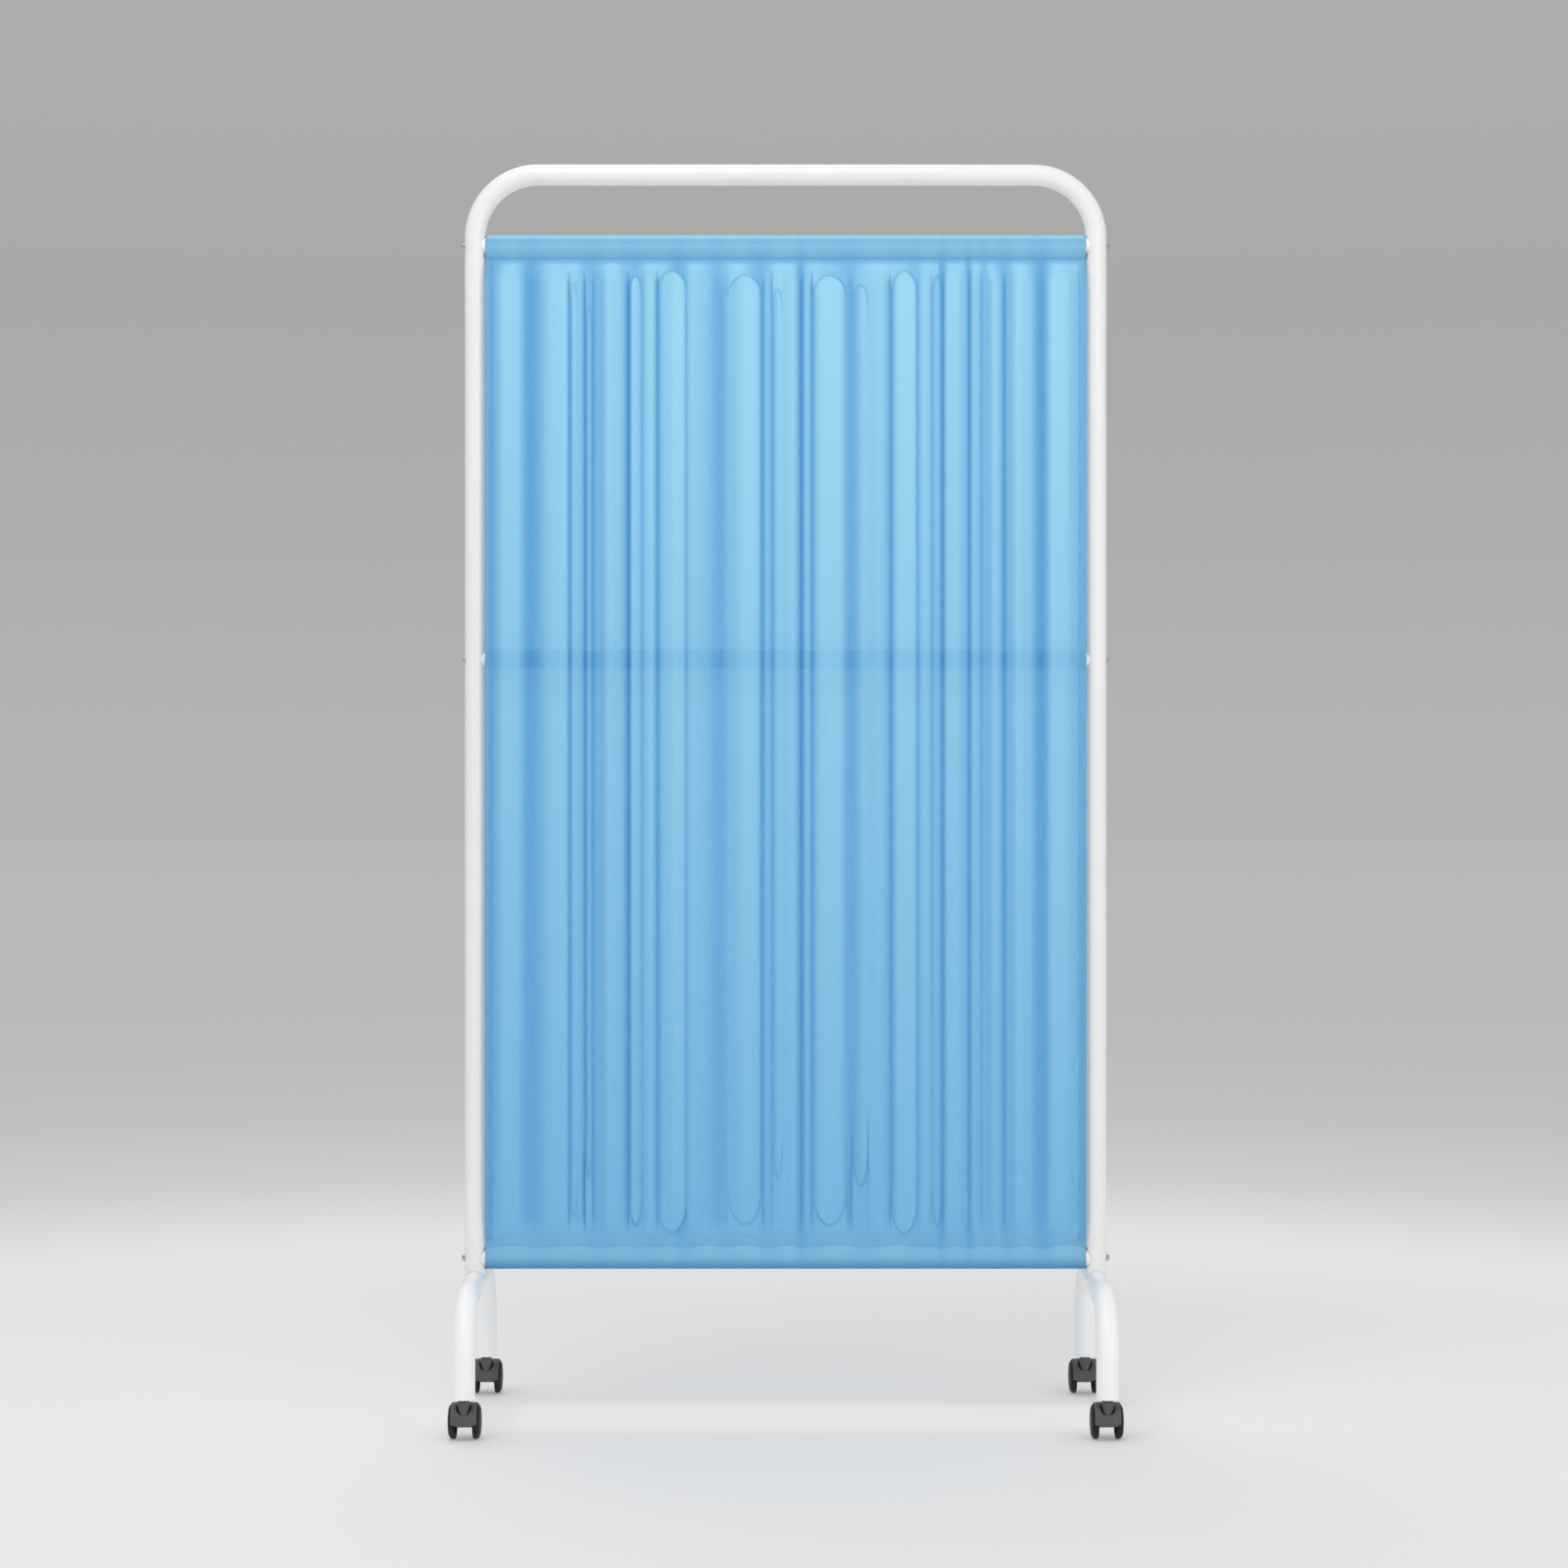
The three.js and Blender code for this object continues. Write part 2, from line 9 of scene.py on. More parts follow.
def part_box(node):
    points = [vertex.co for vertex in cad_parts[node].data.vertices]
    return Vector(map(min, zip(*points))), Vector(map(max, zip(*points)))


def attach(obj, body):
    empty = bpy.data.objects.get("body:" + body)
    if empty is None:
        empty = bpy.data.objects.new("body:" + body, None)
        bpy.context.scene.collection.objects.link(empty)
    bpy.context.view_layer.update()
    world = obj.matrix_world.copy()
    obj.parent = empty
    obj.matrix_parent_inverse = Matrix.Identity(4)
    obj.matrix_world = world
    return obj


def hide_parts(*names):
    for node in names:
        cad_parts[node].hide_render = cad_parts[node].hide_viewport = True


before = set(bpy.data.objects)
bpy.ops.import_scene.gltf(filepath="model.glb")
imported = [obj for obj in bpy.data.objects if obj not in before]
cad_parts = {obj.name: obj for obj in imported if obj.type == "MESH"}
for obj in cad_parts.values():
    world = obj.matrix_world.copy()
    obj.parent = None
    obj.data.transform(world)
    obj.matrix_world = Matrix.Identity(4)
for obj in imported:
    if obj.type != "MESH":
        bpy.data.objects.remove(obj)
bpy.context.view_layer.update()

# Ward privacy screen on wheels. Shapes are worked out in millimetres and made in metres.
MM = 0.001
SIDES = {"left": -1, "right": 1}
ENDS = ("front", "rear")
LEVELS = ("top", "middle", "bottom")


def box_mm(node):
    """A node's lowest and highest corner in millimetres."""
    return [np.array(corner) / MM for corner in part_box(node)]


def middle_mm(node):
    return sum(box_mm(node)) / 2


# Places and sizes, read from the fixed frame
FRAME_LOW, FRAME_HIGH = box_mm("frame_tube")
FRAME_Y = (FRAME_LOW[1] + FRAME_HIGH[1]) / 2
FRAME_TOP = FRAME_HIGH[2]
TUBE_RADIUS = 15.0
TUBE_WALL = 1.2
CORNER_RADIUS = 90.0
UPRIGHT_X = FRAME_HIGH[0] - TUBE_RADIUS
ROD_RADIUS = 12.5
ROD_WALL = 1.0
ROD_HALF = box_mm("rod_top")[1][0]
ROD_Z = {level: middle_mm(f"rod_{level}")[2] for level in LEVELS}
FOOT_LOW, FOOT_HIGH = box_mm("foot_left")
FOOT_RADIUS = 16.0
FOOT_WALL = 1.5
FOOT_HALF = (FOOT_HIGH[1] - FOOT_LOW[1]) / 2 - FOOT_RADIUS
LEG_END = FOOT_LOW[2]
CROWN_Z = FOOT_HIGH[2] - FOOT_RADIUS
FOOT_STRAIGHT = 51.0
FOOT_BEND = CROWN_Z - LEG_END - FOOT_STRAIGHT
# Room between seated pieces
GAP = 0.3

# Smoothness of the round forms
TUBE_SIDES = 48
BEND_STEPS = 28
WHEEL_SIDES = 72
SHARP_ANGLE = math.radians(38)
BEVEL_ANGLE = math.radians(30)
# A rounding takes at most one part in this many of the way to the next corner
NEAREST_CORNERS = 2.2


# Meshes

def ring_faces(rows, columns, closed=True):
    """Quads between successive rows of points, each row a ring or a strip."""
    here = np.arange(columns if closed else columns - 1)
    right = (here + 1) % columns
    quads = np.stack([here, right, columns + right, columns + here], axis=1)
    return [tuple(quad) for row in range(rows - 1) for quad in (quads + row * columns).tolist()]


def capped(faces, count, total):
    """The faces of an open form with one more over its first and its last ring of points."""
    return faces + [tuple(range(count))[::-1], tuple(range(total - count, total))]


def add_object(name, data):
    """An object of a mesh, lamp or camera, put in the scene."""
    made = bpy.data.objects.new(name, data)
    bpy.context.collection.objects.link(made)
    return made


def smoothed(made, sharp=SHARP_ANGLE):
    """Shades an object smooth, but for the edges where it turns by more than an angle."""
    made.data.polygons.foreach_set("use_smooth", [True] * len(made.data.polygons))
    if sharp:
        made.data.set_sharp_from_angle(angle=sharp)
    return made


def new_object(name, points, faces, material, sharp=SHARP_ANGLE, solid=True):
    """A smooth-shaded object from points in millimetres; a solid's faces are turned outward."""
    mesh = bpy.data.meshes.new(name)
    mesh.from_pydata((np.asarray(points, dtype=float) * MM).tolist(), [], faces)
    if solid:
        work = bmesh.new()
        work.from_mesh(mesh)
        bmesh.ops.remove_doubles(work, verts=work.verts, dist=1e-6)
        bmesh.ops.recalc_face_normals(work, faces=work.faces)
        work.to_mesh(mesh)
        work.free()
    mesh.materials.append(material)
    return smoothed(add_object(name, mesh), sharp)


def place(made, body, slot, *replaced):
    """Lets a piece ride on a body and stand for the nodes that it replaces."""
    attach(made, body)
    if replaced:
        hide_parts(*replaced)
    return made


def join(objects):
    """Joins objects into the first one."""
    bpy.ops.object.select_all(action="DESELECT")
    for other in objects:
        other.select_set(True)
    bpy.context.view_layer.objects.active = objects[0]
    bpy.ops.object.join()
    return objects[0]


def apply_modifiers(made):
    """Replaces an object's mesh by what its modifiers make of it."""
    graph = bpy.context.evaluated_depsgraph_get()
    result = bpy.data.meshes.new_from_object(made.evaluated_get(graph))
    made.modifiers.clear()
    old = made.data
    made.data = result
    bpy.data.meshes.remove(old)
    return made


def cut_out(made, cutter):
    """Takes the cutter's form out of an object."""
    cut = made.modifiers.new("recess", "BOOLEAN")
    cut.operation = "DIFFERENCE"
    cut.solver = "EXACT"
    cut.object = cutter
    return apply_modifiers(made)


def mesh_of(made):
    """An object's mesh, taken out of it; the object goes."""
    mesh = made.data
    bpy.data.objects.remove(made)
    return mesh


def bevelled(made, width, segments):
    """Rounds an object's edges; the width is in millimetres."""
    bevel = made.modifiers.new("edges", "BEVEL")
    bevel.width = width * MM
    bevel.segments = segments
    bevel.limit_method = "ANGLE"
    bevel.angle_limit = BEVEL_ANGLE
    return smoothed(apply_modifiers(made))


def lathe(profile, sides=TUBE_SIDES):
    """Points and faces of a turned form about Z; the profile's points are (radius, height)."""
    angles = np.arange(sides) * 2 * math.pi / sides
    rows = [np.stack([r * np.cos(angles), r * np.sin(angles), np.full(sides, h)], axis=1)
            for r, h in profile]
    return np.concatenate(rows), ring_faces(len(rows), sides)


def rounded(profile, radius, steps=4):
    """The profile with its corners rounded, each by no more than its neighbours allow."""
    points = [np.array(p, dtype=float) for p in profile]
    out = [points[0]]
    for before, corner, after in zip(points, points[1:], points[2:]):
        back, ahead = np.linalg.norm(before - corner), np.linalg.norm(after - corner)
        reach = min(radius, back / NEAREST_CORNERS, ahead / NEAREST_CORNERS)
        start = corner + (before - corner) / back * reach
        end = corner + (after - corner) / ahead * reach
        for step in range(steps + 1):
            t = step / steps
            out.append((1 - t) ** 2 * start + 2 * t * (1 - t) * corner + t ** 2 * end)
    out.append(points[-1])
    return out


def turned_solid(name, profile, material, sides=TUBE_SIDES):
    """A closed turned form whose profile starts and ends close to the axis."""
    points, faces = lathe(profile, sides)
    return new_object(name, points, capped(faces, sides, len(points)), material)


# Materials

def node_tree(name):
    material = bpy.data.materials.new(name)
    material.use_nodes = True
    tree = material.node_tree
    tree.nodes.clear()
    return material, tree, tree.nodes.new("ShaderNodeOutputMaterial")


def add_node(tree, kind, **sockets):
    """A shader node with its sockets set or linked; _ stands for a space in their names."""
    node = tree.nodes.new(f"ShaderNode{kind}")
    for socket, value in sockets.items():
        target = node.inputs[socket.replace("_", " ")]
        if isinstance(value, bpy.types.NodeSocket):
            tree.links.new(value, target)
        else:
            target.default_value = value
    return node


def surface(tree, color, roughness, **sockets):
    """A Principled shader with its plain values set on its own sockets."""
    return add_node(tree, "BsdfPrincipled", Base_Color=(*color, 1), Roughness=roughness, **sockets)


def noise(tree, vector, scale, detail):
    return add_node(tree, "TexNoise", Vector=vector, Scale=scale, Detail=detail).outputs["Fac"]


def stretched(tree, vector, scale):
    """The vector scaled apart along its axes."""
    return add_node(tree, "Mapping", Vector=vector, Scale=scale).outputs["Vector"]


def between(tree, factor, low, high, from_min=0.3, from_max=0.7):
    """A number that runs from low to high as the factor does from from_min to from_max."""
    return add_node(tree, "MapRange", Value=factor, From_Min=from_min, From_Max=from_max,
                    To_Min=low, To_Max=high).outputs["Result"]


def blended(tree, factor, first, second):
    """A colour mixed from two; each is a colour or an output."""
    mix = add_node(tree, "Mix")
    mix.data_type = "RGBA"
    tree.links.new(factor, mix.inputs["Factor"])
    for socket, value in (("A", first), ("B", second)):
        target = [i for i in mix.inputs if i.name == socket and i.type == "RGBA"][0]
        if isinstance(value, tuple):
            target.default_value = (*value, 1)
        else:
            tree.links.new(value, target)
    return [o for o in mix.outputs if o.type == "RGBA"][0]


def bump(tree, height, strength, distance_mm, **below):
    """A normal for a height; below may give it another one to work on."""
    return add_node(tree, "Bump", Height=height, Strength=strength, Distance=distance_mm * MM,
                    **below).outputs["Normal"]


def calculated(tree, operation, *values, clamp=False):
    """The result of one sum or function of other outputs."""
    node = add_node(tree, "Math")
    node.operation = operation
    node.use_clamp = clamp
    for value, socket in zip(values, node.inputs):
        tree.links.new(value, socket)
    return node.outputs[0]


def show(tree, output, shader):
    tree.links.new(shader.outputs[0], output.inputs["Surface"])


def show_mixed(tree, output, factor, first, second):
    """Shows two shaders, mixed by a number or an output."""
    mix = add_node(tree, "MixShader", Fac=factor)
    tree.links.new(first.outputs[0], mix.inputs[1])
    tree.links.new(second.outputs[0], mix.inputs[2])
    show(tree, output, mix)


def two_tone(tree, shader, factor, first, second):
    """Gives a shader two close tones that a noise parts."""
    tree.links.new(blended(tree, between(tree, factor, 0, 1), first, second),
                   shader.inputs["Base Color"])


# How far the roughness of a finish strays below and above its value
MATT_SPREAD = (0.05, 0.07)
METAL_SPREAD = (0.08, 0.10)
ROUGHNESS_PATCHES = 7.0
GRAIN_STRENGTH = 0.5


def plain(name, color, second, roughness, grain, grain_mm, patch=9.0, **sockets):
    """A moulded, coated or thread finish: two close tones in soft patches over a fine grain.

    grain and patch count the noise's features per metre, and grain_mm is the grain's depth.
    """
    material, tree, output = node_tree(name)
    where = add_node(tree, "TexCoord").outputs["Object"]
    shader = surface(tree, color, roughness, **sockets)
    two_tone(tree, shader, noise(tree, where, patch, 3), color, second)
    gloss = noise(tree, where, patch * ROUGHNESS_PATCHES, 3)
    below, above = MATT_SPREAD
    tree.links.new(between(tree, gloss, roughness - below, roughness + above),
                   shader.inputs["Roughness"])
    tree.links.new(bump(tree, noise(tree, where, grain, 2), GRAIN_STRENGTH, grain_mm),
                   shader.inputs["Normal"])
    show(tree, output, shader)
    return material


ZINC_PATCHES = 320
MARKS_PER_METRE = (9000, 700, 700)
MARK_STRENGTH = 0.35
MARK_MM = 0.02


def brushed(name, color, second, roughness):
    """Zinc-plated steel with fine turning marks."""
    material, tree, output = node_tree(name)
    where = add_node(tree, "TexCoord").outputs["Object"]
    shader = surface(tree, color, roughness, Metallic=1.0)
    two_tone(tree, shader, noise(tree, where, ZINC_PATCHES, 3), color, second)
    marks = noise(tree, stretched(tree, where, MARKS_PER_METRE), 1, 2)
    tree.links.new(bump(tree, marks, MARK_STRENGTH, MARK_MM), shader.inputs["Normal"])
    below, above = METAL_SPREAD
    tree.links.new(between(tree, marks, roughness - below, roughness + above),
                   shader.inputs["Roughness"])
    show(tree, output, shader)
    return material


# The cloth's tone with painted light, on its ridges, and with painted shade, in its valleys and creases
CLOTH_PAINTED_LIT = (0.368, 0.730, 0.945)
CLOTH_PAINTED_SHADE = (0.024, 0.268, 0.645)
CLOTH_ROUGHNESS = 0.85
CLOTH_GLOSS = 0.1
WEAVE_PER_METRE = 1500.0
# The wave texture's scale at which it has one band per unit
ONE_BAND = 0.314159
WEAVE_BUMP = (0.35, 0.12)
# Slubs, the thicker places in the threads: their noise down and across, bump and lighter tone
SLUBS_DOWN = (900, 25, 1)
SLUBS_ACROSS = (25, 900, 1)
SLUB_BUMP = (0.25, 0.15)
SLUB_LIGHTER = 1.06
SLUB_SHARE_DOWN = 0.12
SLUB_SHARE_ACROSS = 0.10


def woven(name, translucency):
    """Thin plain-weave cloth that lets some light through."""
    material, tree, output = node_tree(name)
    uv = add_node(tree, "UVMap")
    uv.uv_map = "weave"
    where = uv.outputs["UV"]
    threads = []
    for direction in ("X", "Y"):
        wave = add_node(tree, "TexWave", Vector=where, Scale=WEAVE_PER_METRE * ONE_BAND,
                        Distortion=0.6, Detail=1.0)
        wave.bands_direction = direction
        threads.append(wave.outputs["Fac"])
    slubs = noise(tree, stretched(tree, where, SLUBS_DOWN), 1, 3)
    cross_slubs = noise(tree, stretched(tree, where, SLUBS_ACROSS), 1, 3)

    # Painted light and shade on the cloth: the lit tone on ridges and near the top, the shaded tone in
    # valleys and creases
    attribute = add_node(tree, "Attribute")
    attribute.attribute_name = "painted_light"
    tone = blended(tree, attribute.outputs["Fac"], CLOTH_PAINTED_SHADE, CLOTH_PAINTED_LIT)
    lighter = tuple(min(1.0, c * SLUB_LIGHTER) for c in CLOTH_PAINTED_LIT)
    tone = blended(tree, between(tree, slubs, 0, SLUB_SHARE_DOWN), tone, lighter)
    tone = blended(tree, between(tree, cross_slubs, 0, SLUB_SHARE_ACROSS), tone, lighter)

    shader = surface(tree, CLOTH_PAINTED_LIT, CLOTH_ROUGHNESS, Sheen_Weight=0.04,
                     Specular_IOR_Level=CLOTH_GLOSS)
    glow = add_node(tree, "BsdfTranslucent")
    normal = bump(tree, calculated(tree, "MULTIPLY", *threads), *WEAVE_BUMP)
    normal = bump(tree, slubs, *SLUB_BUMP, Normal=normal)
    for node, socket in ((shader, "Base Color"), (glow, "Color")):
        tree.links.new(tone, node.inputs[socket])
        tree.links.new(normal, node.inputs["Normal"])
    show_mixed(tree, output, translucency, shader, glow)
    return material


def powder_coat(name, color, second):
    return plain(name, color, second, 0.36, 1400, 0.03, Coat_Weight=0.10, Coat_Roughness=0.25)


WHITE_COAT = powder_coat("white_powder_coat", (0.850, 0.842, 0.836), (0.832, 0.824, 0.819))
# A copy of the white coat for the feet, painted lighter so that they show as more brightly lit
FOOT_COAT_PAINTED_LIGHTER = powder_coat("white_coat_painted_lighter", (0.930, 0.920, 0.910), (0.915, 0.905, 0.895))
WHITE_PLASTIC = plain("white_moulded_plastic", (0.90, 0.90, 0.90), (0.87, 0.87, 0.865), 0.42, 2600, 0.02)
HOOD_NYLON = plain("charcoal_nylon", (0.100, 0.100, 0.102), (0.082, 0.082, 0.084), 0.5, 2600, 0.05,
                   patch=60.0, Specular_IOR_Level=0.3)
WHEEL_NYLON = plain("black_wheel_nylon", (0.011, 0.011, 0.0115), (0.016, 0.016, 0.0165), 0.45, 3000, 0.03,
                    patch=80.0, Specular_IOR_Level=0.22)
ZINC = brushed("zinc_plate", (0.62, 0.63, 0.65), (0.52, 0.53, 0.55), 0.34)
CLOTH = woven("blue_ward_cloth", 0.30)
THREAD = plain("blue_thread", (0.36, 0.66, 0.88), (0.30, 0.58, 0.82), 0.7, 4000, 0.05)


# Frame: bent tubes, rods and their plugs and screws

def arch_stations(half_span, leg_end, crown, bend):
    """Stations (u, z, along u, along z) up one leg of an arch, over and down the other."""
    stations = [(-half_span, leg_end, 0.0, 1.0)]
    for side in (-1, 1):
        for step in range(BEND_STEPS + 1):
            turn = math.pi / 2 * (step / BEND_STEPS + (side > 0))
            u = side * (half_span - bend) - bend * math.cos(turn)
            z = crown - bend + bend * math.sin(turn)
            stations.append((u, z, math.sin(turn), math.cos(turn)))
    stations.append((half_span, leg_end, 0.0, -1.0))
    return stations


def bent_tube(stations, radius, wall, end_height=None):
    """Points (u, side, z) and faces of a hollow tube swept in a plane.

    end_height gives how far each point of an end ring stands above the station.
    """
    angles = np.arange(TUBE_SIDES) * 2 * math.pi / TUBE_SIDES
    skins = []
    for reach in (radius, radius - wall):
        rings = []
        for number, (u, z, du, dz) in enumerate(stations):
            out = reach * np.cos(angles)
            ring = np.stack([u - dz * out, reach * np.sin(angles), z + du * out], axis=1)
            if end_height is not None and number in (0, len(stations) - 1):
                ring[:, 2] += end_height(ring[:, 0] - u)
            rings.append(ring)
        skins.append(rings)
    rows = skins[0] + skins[1][::-1] + skins[0][:1]
    return np.concatenate(rows), ring_faces(len(rows), TUBE_SIDES)


def frame_tube():
    """The inverted U, its lower ends coped over the feet."""
    crown = FOOT_RADIUS + GAP
    stations = arch_stations(UPRIGHT_X, CROWN_Z, FRAME_TOP - TUBE_RADIUS, CORNER_RADIUS)
    points, faces = bent_tube(stations, TUBE_RADIUS, TUBE_WALL,
                              lambda offset: np.sqrt(crown ** 2 - offset ** 2))
    points[:, 1] += FRAME_Y
    return place(new_object("coated_frame", points, faces, WHITE_COAT), "screen",
                 "white_coat", "frame_tube")


# The legs and the sockets' flanges end this much higher than in the solids
LEG_LIFT = 0.8


def foot(name, side):
    stations = arch_stations(FOOT_HALF, LEG_END + LEG_LIFT, CROWN_Z, FOOT_BEND)
    points, faces = bent_tube(stations, FOOT_RADIUS, FOOT_WALL)
    points = np.stack([points[:, 1] + side * UPRIGHT_X, points[:, 0] + FRAME_Y, points[:, 2]], axis=1)
    return place(new_object(f"coated_foot_{name}", points, faces, FOOT_COAT_PAINTED_LIGHTER), "screen",
                 "white_coat", f"foot_{name}")


ROD_RIM = 0.25


def cross_rod(level):
    bore = ROD_RADIUS - ROD_WALL
    profile = [(bore, -ROD_HALF), (ROD_RADIUS, -ROD_HALF), (ROD_RADIUS, ROD_HALF),
               (bore, ROD_HALF), (bore, -ROD_HALF)]
    points, faces = lathe(rounded(profile, ROD_RIM, 2))
    points = points[:, ::-1] * (1, 1, -1) + (0, FRAME_Y, ROD_Z[level])
    return place(new_object(f"coated_rod_{level}", points, faces, WHITE_COAT), "screen",
                 "white_coat", f"rod_{level}")


LIP = 2.4
LIP_HOLD = 6.0
LIP_EDGE = 0.9
LIP_STEPS = 4
SPIGOT_LENGTH = 20.0
SPIGOT_RADIUS = ROD_RADIUS - ROD_WALL - GAP
SPIGOT_CHAMFER = 1.0
PLUG_BORE = 3.2
SADDLE_RADII = (ROD_RADIUS, ROD_RADIUS - 0.4, 9.0, 6.0, PLUG_BORE)


def saddle_plug(level, name, side):
    """A plug in the rod's end whose lip is hollowed to hug the upright."""
    start = ROD_HALF + GAP
    hug = TUBE_RADIUS + GAP
    angles = np.arange(TUBE_SIDES) * 2 * math.pi / TUBE_SIDES
    rows = []

    def ring(radius, along):
        rows.append(np.stack([along * np.ones(TUBE_SIDES), radius * np.cos(angles),
                              radius * np.sin(angles)], axis=1))

    def saddle(radius):
        across = radius * np.cos(angles)
        return np.minimum(UPRIGHT_X - np.sqrt(hug ** 2 - across ** 2), start + LIP + LIP_HOLD)

    tip = start - SPIGOT_LENGTH
    for radius, along in ((PLUG_BORE, tip), (SPIGOT_RADIUS - SPIGOT_CHAMFER, tip),
                          (SPIGOT_RADIUS, tip + SPIGOT_CHAMFER), (SPIGOT_RADIUS, start)):
        ring(radius, along)
    for step in range(LIP_STEPS + 1):
        turn = math.pi / 2 * step / LIP_STEPS
        ring(ROD_RADIUS - LIP_EDGE + LIP_EDGE * math.sin(turn),
             start + LIP_EDGE - LIP_EDGE * math.cos(turn))
    for radius in SADDLE_RADII:
        ring(radius, saddle(radius))
    rows.append(rows[0])
    points = np.concatenate(rows)
    points[:, 0] *= side
    points = points + (0, FRAME_Y, ROD_Z[level])
    made = new_object(f"plug_{level}_{name}", points, ring_faces(len(rows), TUBE_SIDES), WHITE_PLASTIC)
    return place(made, "screen", "white_plastic", f"saddle_plug_{level}_{name}")


HEAD_RADIUS = 4.8
HEAD_HEIGHT = 4.2
SHANK_RADIUS = 2.9
SHANK_LENGTH = 52.0
SCREW_SIDES = 32
SCREW_ROUNDING = 0.8
RECESS_REACH = 2.5
RECESS_WIDTH = 1.0
RECESS_DEPTH = 2.0
# The recess's height and its share of the full reach, at its floor and at its top
RECESS_ENDS = ((HEAD_HEIGHT - RECESS_DEPTH, 0.45), (HEAD_HEIGHT + 1, 1.2))


def recess_arm(turn):
    """One tapered bar of a cross recess, across the top of a screw head."""
    points = []
    for height, share in RECESS_ENDS:
        for across, along in ((-1, -1), (1, -1), (1, 1), (-1, 1)):
            x = along * RECESS_REACH * share
            y = across * RECESS_WIDTH / 2 * (0.5 + share / 2)
            points.append((x * math.cos(turn) - y * math.sin(turn),
                           x * math.sin(turn) + y * math.cos(turn), height))
    faces = [(0, 3, 2, 1), (4, 5, 6, 7), (0, 1, 5, 4), (1, 2, 6, 5), (2, 3, 7, 6), (3, 0, 4, 7)]
    return new_object("recess", points, faces, ZINC)


def screw_mesh():
    """A pan-head screw standing up along Z, its seat at zero, with a cross recess."""
    profile = [(0.01, -SHANK_LENGTH), (SHANK_RADIUS - 1.2, -SHANK_LENGTH + 0.4),
               (SHANK_RADIUS, -SHANK_LENGTH + 4), (SHANK_RADIUS, 0), (HEAD_RADIUS, 0),
               (HEAD_RADIUS, HEAD_HEIGHT - 2.2), (HEAD_RADIUS - 1.5, HEAD_HEIGHT - 0.5),
               (HEAD_RADIUS - 2.6, HEAD_HEIGHT), (0.01, HEAD_HEIGHT)]
    screw = turned_solid("screw", rounded(profile, SCREW_ROUNDING, 3), ZINC, SCREW_SIDES)
    for turn in (0, math.pi / 2):
        arm = recess_arm(turn)
        cut_out(screw, arm)
        bpy.data.objects.remove(arm)
    return mesh_of(smoothed(screw))


def copy_of(mesh, name, side, shift):
    """An object from a mesh's copy, its +Z turned to +X or -X unless side is 0, then moved in mm."""
    data = mesh.copy()
    turn = Matrix.Rotation(side * math.pi / 2, 4, "Y")
    data.transform(Matrix.Translation(Vector(shift) * MM) @ turn)
    data.name = name
    return add_object(name, data)


SOCKET_FLANGE = 0.6
SOCKET_BORE = 5.9
SOCKET_LENGTH = 30.0
SOCKET_CHAMFER = 1.5
SOCKET_ROUNDING = 0.5


def socket(end, name, side, along):
    """The flanged plug in a leg's end, bored for the caster's stem."""
    seat = LEG_END + LEG_LIFT
    low, high = seat - SOCKET_FLANGE, LEG_END + SOCKET_LENGTH
    inside = FOOT_RADIUS - FOOT_WALL - GAP
    profile = [(SOCKET_BORE, high), (SOCKET_BORE, low), (FOOT_RADIUS, low), (FOOT_RADIUS, seat),
               (inside, seat), (inside, high - SOCKET_CHAMFER), (inside - SOCKET_CHAMFER, high),
               (SOCKET_BORE, high)]
    points, faces = lathe(rounded(profile, SOCKET_ROUNDING, 2))
    points = points + (side * UPRIGHT_X, along, 0)
    made = new_object(f"socket_{end}_{name}", points, faces, WHITE_PLASTIC)
    return place(made, "screen", "white_plastic", f"caster_socket_{end}_{name}")


# Casters, made about the swivel axis at x = y = 0 and then moved to their legs

TRAIL = 18.0
CASTER_HEIGHT = 58.2
CASTER_HALF = 23.0
WHEEL_WIDTH = 11.5
AXLE_Z = middle_mm("caster_axle_front_left")[2]
FENDER_INNER = 25.6
FENDER_OUTER = 27.0
FENDER_CROWN = 0.6
FENDER_TOP_DROP = 0.65
FENDER_HALF = 18.2
FENDER_FLAT = 0.45 * FENDER_HALF
FENDER_ROUNDING = 0.6
FENDER_BEVEL = 0.4
HOOD_BOTTOM = 20.5
FENDER_RISE = 7.0
WEB_HALF = 10.9
WEB_HUB = 9.0
WEB_BEVEL = 0.9
WEB_HUB_ANGLES = np.radians(np.linspace(-10, -90, 9))
WEB_NOSE = (TRAIL - 4, HOOD_BOTTOM - 3)
FRONT_BOW = 0.12
FENDER_STEPS = 40
FRONT_ANGLE = math.pi + math.asin((AXLE_Z - HOOD_BOTTOM) / FENDER_OUTER)
REAR_ANGLE = math.asin(FENDER_RISE / FENDER_OUTER)

